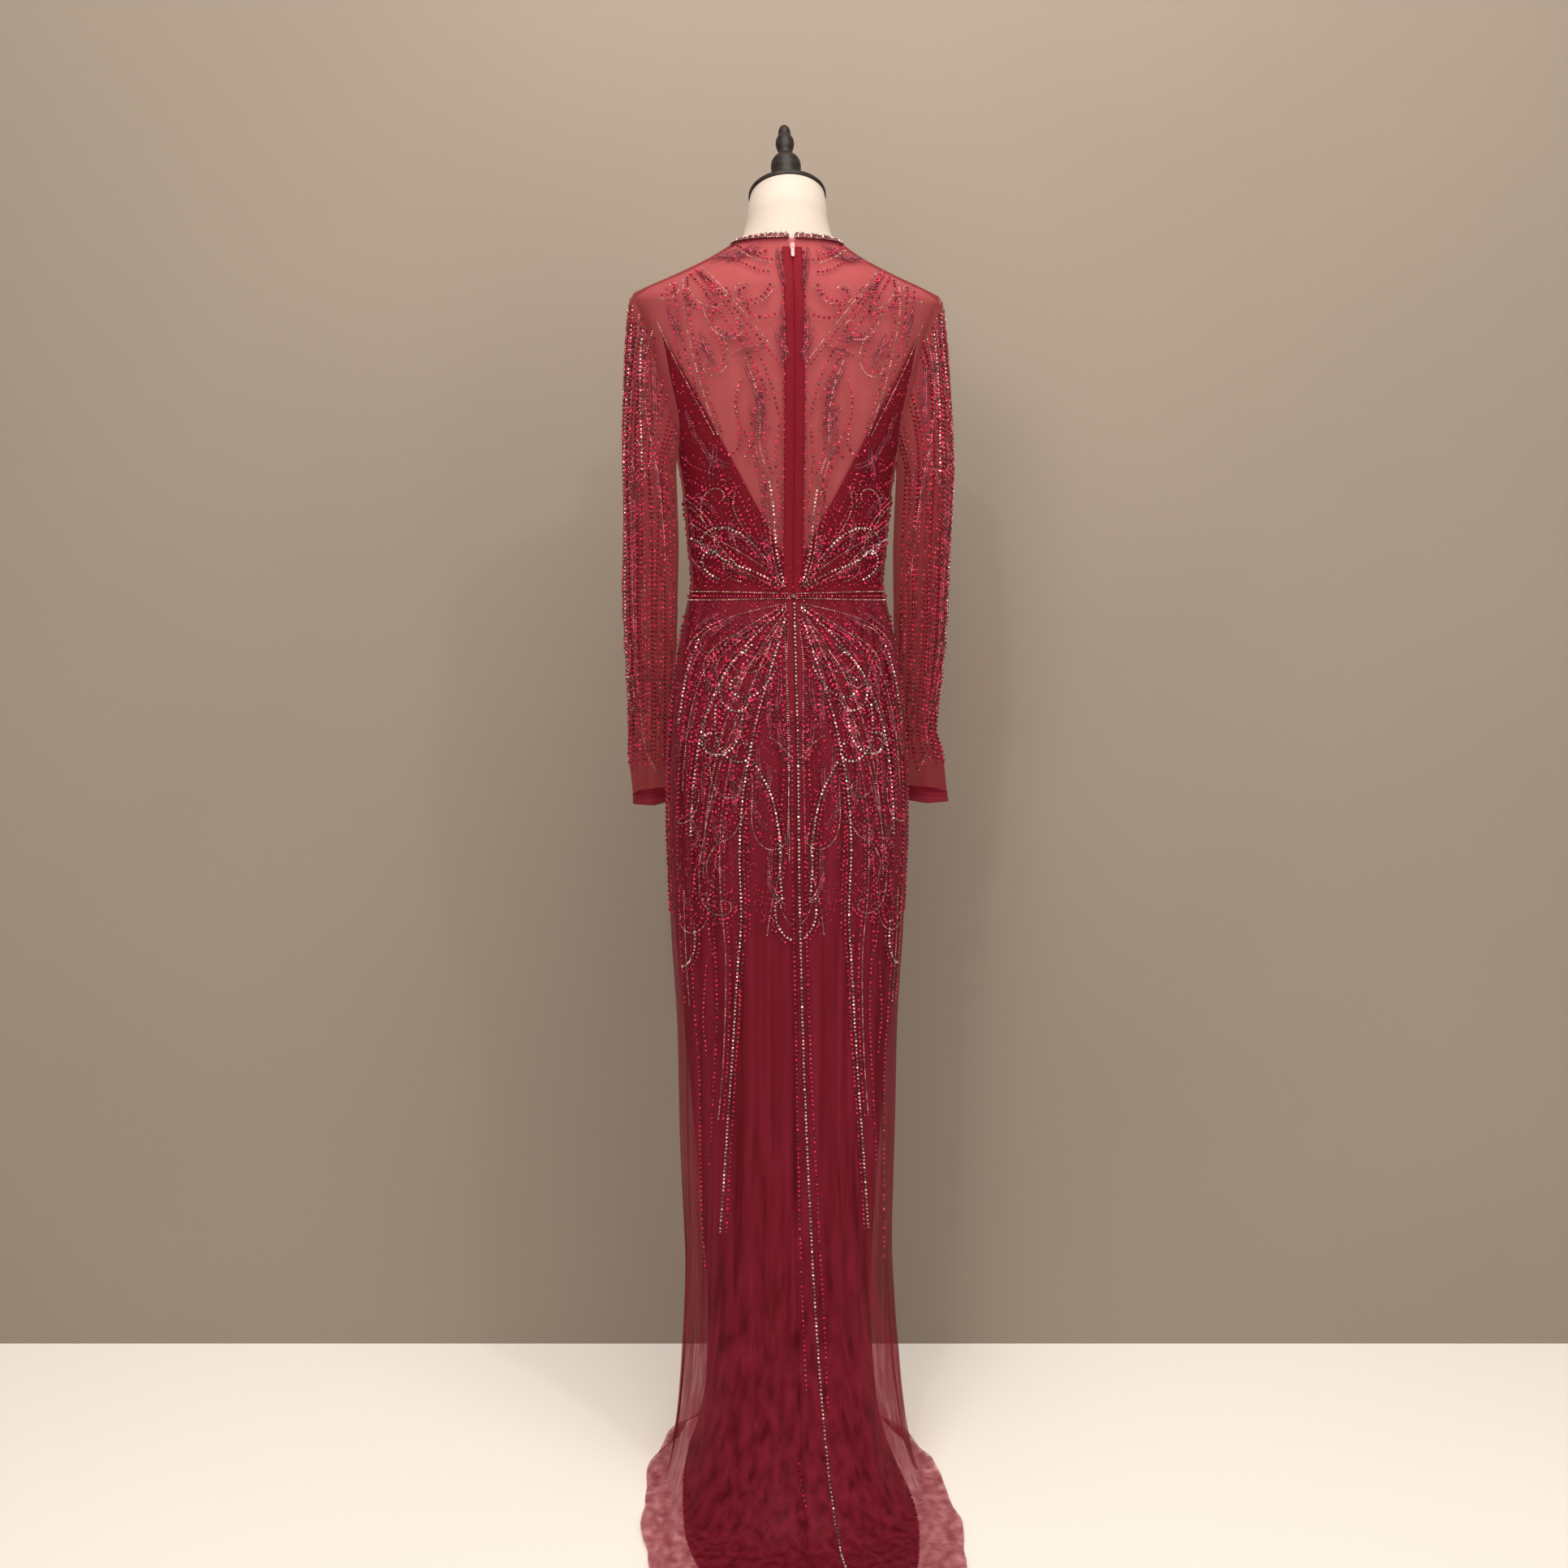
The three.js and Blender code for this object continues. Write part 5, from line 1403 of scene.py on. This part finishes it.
class DRESS_OT_bodice_beads(bpy.types.Operator):
    """Bead strings, scrolls and leaf sprays of the bodice."""

    bl_idname = "dress.bodice_beads"
    bl_label = "Bodice beads"

    def execute(self, context):
        strings = short_of_armhole(plane_strings(BODICE_LINES, BODICE_CURLS))
        sprays = short_of_armhole([("bugle", curl(*numbers)) for numbers in BODICE_SPRAYS])
        back = bead_strings(strings, turn_of, (1, -1))
        plain = [s for s in strings if s[1][:, 1].max() < 1440][::2]
        front = bead_strings(plain, front_distance, (1, -1))
        leaves = []
        for _, curve in sprays:
            leaves += leaf_spray(curve, turn_of, (1, -1))
        x, z = sprinkle(11, 1000, WAIST + 8, 1385, 0, 150)
        edge = np.minimum(smooth_columns(ARMHOLE, z)[:, 0], 145) - 3
        under = (x < edge) & (z < WAIST + 30 + LINING["v_slope"] * x)
        small = loose_beads(x[under], z[under], turn_of, (1, -1), 0.62)
        runs = joined_runs(back, front, {"bugle": leaves, "dots": small})
        bead_kind_pieces("bodice", runs)
        return {"FINISHED"}


class DRESS_OT_skirt_beads(bpy.types.Operator):
    """Bead strings, scrolls and leaf sprays of the skirt."""

    bl_idname = "dress.skirt_beads"
    bl_label = "Skirt beads"

    def execute(self, context):
        strings = on_the_back(plane_strings(SKIRT_LINES, SKIRT_CURLS))
        sprays = on_the_back([("bugle", curl(*numbers)) for numbers in SKIRT_SPRAYS])
        back = bead_strings(strings, turn_of, (1, -1))
        middle = bead_strings(
            [(kind, plane_curve(points)) for kind, points in SINGLE_LINES], turn_of, (1,))
        front = bead_strings(strings[::3], front_distance, (1, -1))
        leaves = []
        for _, curve in sprays:
            leaves += leaf_spray(curve, turn_of, (1, -1))
        side = [("dots", plane_curve(((degrees, 1070), (degrees - 4, 900), (degrees - 6, 700))))
                for degrees in (84, 90, 97, 104)]
        sides = bead_strings(side, by_degrees, (1, -1))
        small = loose_beads(*sprinkle(12, 700, 700, WAIST - 8, 12, 0), turn_of, (1, -1), 0.62)
        pale = loose_beads(*sprinkle(13, 500, 720, WAIST - 8, 12, 0), turn_of, (1, -1), 0.7)
        red = loose_beads(*sprinkle(14, 420, 930, WAIST - 8, 12, 0), turn_of, (1, -1), 0.6)
        sides = joined_runs(sides, {"dots": small, "bugle": pale, "ruby": red})
        bead_kind_pieces("skirt", joined_runs(back, middle, front, sides, {"bugle": leaves}))
        return {"FINISHED"}


# Sleeve strings: kind, then points (degrees round the arm from its outer side, level)
SLEEVE_LINES = (
    ("chain", ((18, 0.03), (20, 0.5), (16, 1.0), (14, 1.4), (18, 1.7))),
    ("chain", ((-14, 0.05), (-10, 0.6), (-8, 1.1), (-10, 1.5), (-14, 1.8))),
    ("rope", ((30, 0.06), (38, 0.5), (36, 0.95), (44, 1.3), (50, 1.6), (70, 1.8), (100, 1.9))),
    ("rope", ((54, 0.05), (66, 0.45), (92, 0.8), (110, 1.1), (120, 1.3))),
    ("chain", ((42, 0.1), (60, 0.5), (70, 0.8), (72, 1.0))),
    ("dots", ((64, 0.3), (84, 0.7), (92, 1.1), (96, 1.5), (104, 1.75))),
    ("dots", ((50, 0.35), (60, 0.8), (66, 1.15), (70, 1.5), (74, 1.8))),
    ("dots", ((40, 0.7), (50, 1.1), (54, 1.5), (58, 1.85))),
    ("dots", ((124, 1.0), (130, 1.3), (134, 1.6), (136, 1.82))),
    ("dots", ((26, 0.2), (28, 0.7), (26, 1.2), (30, 1.6), (28, 1.9))),
    ("ruby", ((22, 0.5), (24, 0.85))),
    ("rope", ((4, 0.04), (4, 0.6), (2, 1.2), (4, 1.7))),
    ("dots", ((-26, 0.1), (-30, 0.7), (-34, 1.3), (-34, 1.8))),
    ("rope", ((-48, 0.1), (-58, 0.7), (-62, 1.2), (-60, 1.6))),
    ("dots", ((-80, 0.5), (-90, 1.1), (-92, 1.6))),
    ("rope", ((92, 0.8), (84, 0.97), (66, 1.04), (52, 0.98), (48, 0.86), (56, 0.78), (66, 0.82))),
    ("rope", ((36, 1.5), (24, 1.56), (20, 1.66), (30, 1.72), (38, 1.66), (34, 1.6))),
    ("dots", ((76, 0.92), (68, 0.98), (60, 0.94), (62, 0.86))),
)
SLEEVE_SPRAYS = (
    ((70, 0.2), (84, 0.4), (92, 0.55)), ((46, 0.12), (52, 0.3), (56, 0.45)),
    ((56, 1.02), (50, 1.12), (46, 1.22)), ((98, 0.92), (104, 1.02), (108, 1.12)),
    ((34, 0.3), (36, 0.44), (32, 0.56)), ((10, 0.16), (12, 0.34), (10, 0.48)),
)


def sleeve_seat(side, curve, pitch, lift):
    """Places along a curve of a sleeve, seated on its cloth."""
    outer = 1 if side == "right" else -1
    curve = plane_curve(curve)
    position, level = np.radians(curve[:, 0]), curve[:, 1]
    length, place = even_places(sleeve_face(side, position, level), pitch, 2)
    position, level = np.interp(place, length, position), np.interp(place, length, level)
    spot = sleeve_face(side, position, level)
    around = sleeve_face(side, position + 0.02, level) - sleeve_face(side, position - 0.02, level)
    above, below = level - 0.01, np.minimum(level + 0.01, 2)
    down = sleeve_face(side, position, below) - sleeve_face(side, position, above)
    normal = unit(np.cross(around, down) * outer)
    return spot + normal * lift, np.gradient(spot, axis=0), normal


class DRESS_OT_sleeve_beads(bpy.types.Operator):
    """Bead strings down both sleeves."""

    bl_idname = "dress.sleeve_beads"
    bl_label = "Sleeve beads"

    def execute(self, context):
        for side in ("left", "right"):
            runs = {}
            beside_rows = [("dots", [(degrees + 5.5, level) for degrees, level in points])
                           for kind, points in SLEEVE_LINES if kind in ("rope", "chain")]
            strands = [("dots", [(degrees + 5 * math.sin(degrees + 3 * level), level)
                                 for level in (0.12, 0.5, 0.9, 1.3, 1.6, 1.88)])
                       for degrees in range(-120, 150, 16)]
            for kind, points in (*SLEEVE_LINES, *beside_rows, *strands):
                seated = sleeve_seat(side, points, STRING_PITCH[kind], STRING_LIFT[kind])
                runs.setdefault(kind, []).append((*seated, None))
            for points in SLEEVE_SPRAYS:
                spot, along, normal = sleeve_seat(side, points, 2.7, STRING_LIFT["bugle"])
                along = unit(along)
                across = np.cross(normal, along)
                for way in (-1, 1):
                    barb = along * 0.79 + across * 0.61 * way
                    runs.setdefault("bugle", []).append((spot + barb * 3, barb, normal, None))
            bead_kind_pieces(f"sleeve_{side}", runs)
        return {"FINISHED"}


class DRESS_OT_edge_beads(bpy.types.Operator):
    """Bead rows of the neckline, waist seam, zip and hem, and the waist crystal."""

    bl_idname = "dress.edge_beads"
    bl_label = "Edge beads"

    def ring(self, angle, z, lift, pitch):
        """Places along a closed or open row round the body at an even pitch."""
        length, place = even_places(body_face(angle, z), pitch)
        angle, z = np.interp(place, length, angle), np.interp(place, length, z)
        normal = body_point(angle, z, np.full(len(place), -1.0)) - body_face(angle, z)
        spot = body_face(angle, z) + normal * lift
        return spot, np.gradient(spot, axis=0), normal, None

    def execute(self, context):
        round_run, seed_run, stone_run = [], [], []
        seed_pitch, stone_pitch, dark_pitch, zip_pitch = 2.6, 7.8, 4.6, 9.0
        angle = np.linspace(0.06, math.pi - 0.01, 400)
        for mirror in (1, -1):
            turn = angle * mirror
            picot = self.ring(turn, neck_top(turn) + 0.4, 0.3, sizes().picot / MM)
            stone_run.append((*picot[:3], np.full(len(picot[0]), 0.75)))
            seed_run.append(self.ring(turn, neck_top(turn) - 1.0, 1.1, seed_pitch))
            seed_run.append(self.ring(turn, band_bottom(turn) + 0.8, 1.1, seed_pitch))
            middle = (neck_top(turn) + band_bottom(turn)) / 2
            stone_run.append(self.ring(turn, middle, 1.0, stone_pitch))
        full = np.linspace(0.02, math.tau - 0.02, 900)
        dip = 2.2 * np.exp(-((np.sin(full / 2) / 0.25) ** 2))
        seed_run.append(self.ring(full, WAIST + 5.2 - dip, 1.0, seed_pitch))
        seed_run.append(self.ring(full, WAIST - 5.0 + dip, 1.0, seed_pitch))
        round_run.append(self.ring(full, np.full(full.shape, WAIST - 0.2), 1.0, dark_pitch))
        for mirror in (1, -1):
            z = np.arange(TAPE["bottom"], 1496, zip_pitch)
            turn = turn_of(np.full(z.shape, TAPE["width"] + 0.6), z) * mirror
            spot = garment_point(turn, z)
            normal = np.tile((0.0, -1.0, 0.0), (len(z), 1))
            round_run.append((spot + normal * 0.9, np.tile((0, 0, 1.0), (len(z), 1)), normal, None))
        columns = 700
        hem = satin_face(np.full(columns, len(SATIN_ROWS) - 1.0), np.linspace(0, math.tau, columns))
        hem = hem * (1.004, 1.004, 1)
        hem[:, 2] = 2.3
        step = np.linalg.norm(np.diff(hem, axis=0), axis=1).cumsum()
        pick = np.searchsorted(step, np.arange(0, step[-1], sizes().picot / MM))
        pick = pick.clip(0, columns - 2)
        up = np.tile((0, 0, 1.0), (len(pick), 1))
        round_run.append((hem[pick], np.gradient(hem, axis=0)[pick], up, np.full(len(pick), 0.8)))
        crystal = body_face(np.array([0.0]), np.array([WAIST + 0.4])) + (0, -1.8, 0)
        right, back = np.array([(1.0, 0, 0)]), np.array([(0, -1.0, 0)])
        stone_run.append((crystal, right, back, np.array([1.9])))
        bead_kind_pieces("edge", {"rope": seed_run, "dots": round_run, "chain": stone_run})
        return {"FINISHED"}


# The view's turn in radians and downward pitch in degrees, and the room in millimetres
VIEW_TURN = math.radians(5)
PITCH = 6.06
ROOM_SIDE = 9000
WALL_HEIGHT = 3600
WALL_AWAY = 330

# Lights: name, place, target, size, power, tint
LIGHTS = (
    ("overhead", (0.0, -0.9, 2.9), (0, 0, 0.9), 1.6, 34, (1.0, 0.93, 0.84)),
    ("key", (-1.3, -2.6, 2.4), (0, 0, 1.1), 1.1, 26, (1.0, 0.94, 0.86)),
    ("fill", (1.9, -2.4, 1.5), (0, 0, 0.8), 1.4, 14, (1.0, 0.94, 0.86)),
    ("glint_left", (-0.5, -1.6, 2.7), (0, 0, 1.1), 0.08, 5, (1.0, 0.98, 0.96)),
    ("glint_right", (0.7, -1.3, 2.7), (0, 0, 1.0), 0.08, 5, (1.0, 0.98, 0.96)),
    ("far_side", (0.0, 2.4, 2.4), (0, 0, 1.0), 1.4, 16, (1.0, 0.96, 0.92)),
)


class DRESS_OT_stage(bpy.types.Operator):
    """Plain pale floor and plain wall, soft lights and the camera."""

    bl_idname = "dress.stage"
    bl_label = "Stage"

    def execute(self, context):
        self.room()
        self.lights()
        self.camera()
        return {"FINISHED"}

    def room(self):
        """Floor, and a wall that stands behind the dress as the camera sees it."""
        sine, cosine = math.sin(VIEW_TURN), math.cos(VIEW_TURN)

        def floor_surface(u, v):
            return np.stack([(u - 0.5) * ROOM_SIDE, (v - 0.5) * ROOM_SIDE, 0 * u - 0.2], -1)

        def wall_surface(u, v):
            across = (u - 0.5) * ROOM_SIDE
            x = across * cosine + WALL_AWAY * sine
            y = -across * sine + WALL_AWAY * cosine
            return np.stack([x, y, v * WALL_HEIGHT - 10], -1)

        def below(points):
            return points - (0, 0, 1)

        def behind(points):
            return points + (sine, cosine, 0)

        floor = shaped_grid("floor", 4, 4, floor_surface, outward_from=below)
        wall = shaped_grid("wall", 4, 4, wall_surface, outward_from=behind)
        floor.data.materials.append(
            matt_material("pale_floor_paint", colour("floor"), 0.98, 1.01, 1.5))
        wall.data.materials.append(
            matt_material("greige_wall_paint", colour("wall"), 0.94, 1.05, 2.2))
        open_behind(wall.data.materials[0].node_tree)
        wall.visible_shadow = False

    def lights(self):
        """A broad overhead light, a soft key from the camera's side and small glint lights."""
        for name, place, target, size, power, tint in LIGHTS:
            deselect_all()
            bpy.ops.object.light_add(type="AREA", location=place)
            light = bpy.context.object
            light.name = name
            light.data.shape = "DISK"
            light.data.size = size
            light.data.energy = power
            light.data.color = tint
            aim(light, target)
        world = bpy.data.worlds.new("soft_room")
        world.use_nodes = True
        back = world.node_tree.nodes["Background"]
        back.inputs["Color"].default_value = (1.0, 0.94, 0.86, 1)
        back.inputs["Strength"].default_value = 0.42
        bpy.context.scene.world = world

    def camera(self):
        """The photograph's view of the back."""
        away, eye = sizes().away, sizes().eye
        across = -0.004
        x = across * math.cos(VIEW_TURN) - away * math.sin(VIEW_TURN)
        y = -across * math.sin(VIEW_TURN) - away * math.cos(VIEW_TURN)
        deselect_all()
        bpy.ops.object.camera_add(
            location=(x, y, eye),
            rotation=(math.radians(90 - PITCH), 0, -VIEW_TURN))
        camera = bpy.context.object
        camera.data.lens = sizes().lens
        camera.data.sensor_width = 36
        camera.data.sensor_fit = "AUTO"
        bpy.context.scene.camera = camera
        bpy.context.scene.view_settings.view_transform = "Standard"


def aim(piece, target):
    """Turns a light towards a point."""
    x, y, z = [t - p for t, p in zip(target, piece.location)]
    piece.rotation_euler = (math.atan2(math.hypot(x, y), -z), 0, math.atan2(y, x) - math.pi / 2)


class DRESS_PT_panel(bpy.types.Panel):
    """Lists the pieces of the dress."""

    bl_label = "Beaded Evening Dress"
    bl_idname = "DRESS_PT_panel"
    bl_space_type = "VIEW_3D"
    bl_region_type = "UI"
    bl_category = "Dress"

    def draw(self, context):
        for piece in PIECES:
            self.layout.operator(piece.bl_idname)
        for group in (context.scene.dress_sizes, context.scene.dress_colours):
            for name in group.__annotations__:
                self.layout.prop(group, name)


PIECES = (
    DRESS_OT_form, DRESS_OT_bodice, DRESS_OT_skirt, DRESS_OT_sleeves, DRESS_OT_neckline,
    DRESS_OT_zip, DRESS_OT_edge_beads, DRESS_OT_bodice_beads, DRESS_OT_skirt_beads,
    DRESS_OT_sleeve_beads, DRESS_OT_stage,
)
CLASSES = (DressSizes, DressColours, *PIECES, DRESS_PT_panel)


def register():
    """Adds the classes and the scene's properties."""
    for made in CLASSES:
        bpy.utils.register_class(made)
    bpy.types.Scene.dress_sizes = PointerProperty(type=DressSizes)
    bpy.types.Scene.dress_colours = PointerProperty(type=DressColours)


def unregister():
    """Removes them again."""
    del bpy.types.Scene.dress_sizes
    del bpy.types.Scene.dress_colours
    for made in reversed(CLASSES):
        bpy.utils.unregister_class(made)


def main():
    """Builds the dress and its stage."""
    register()
    bpy.ops.dress.form()
    bpy.ops.dress.bodice()
    bpy.ops.dress.skirt()
    bpy.ops.dress.sleeves()
    bpy.ops.dress.neckline()
    bpy.ops.dress.zip()
    bpy.ops.dress.edge_beads()
    bpy.ops.dress.bodice_beads()
    bpy.ops.dress.skirt_beads()
    bpy.ops.dress.sleeve_beads()
    bpy.ops.dress.stage()


if __name__ == "__main__":
    main()
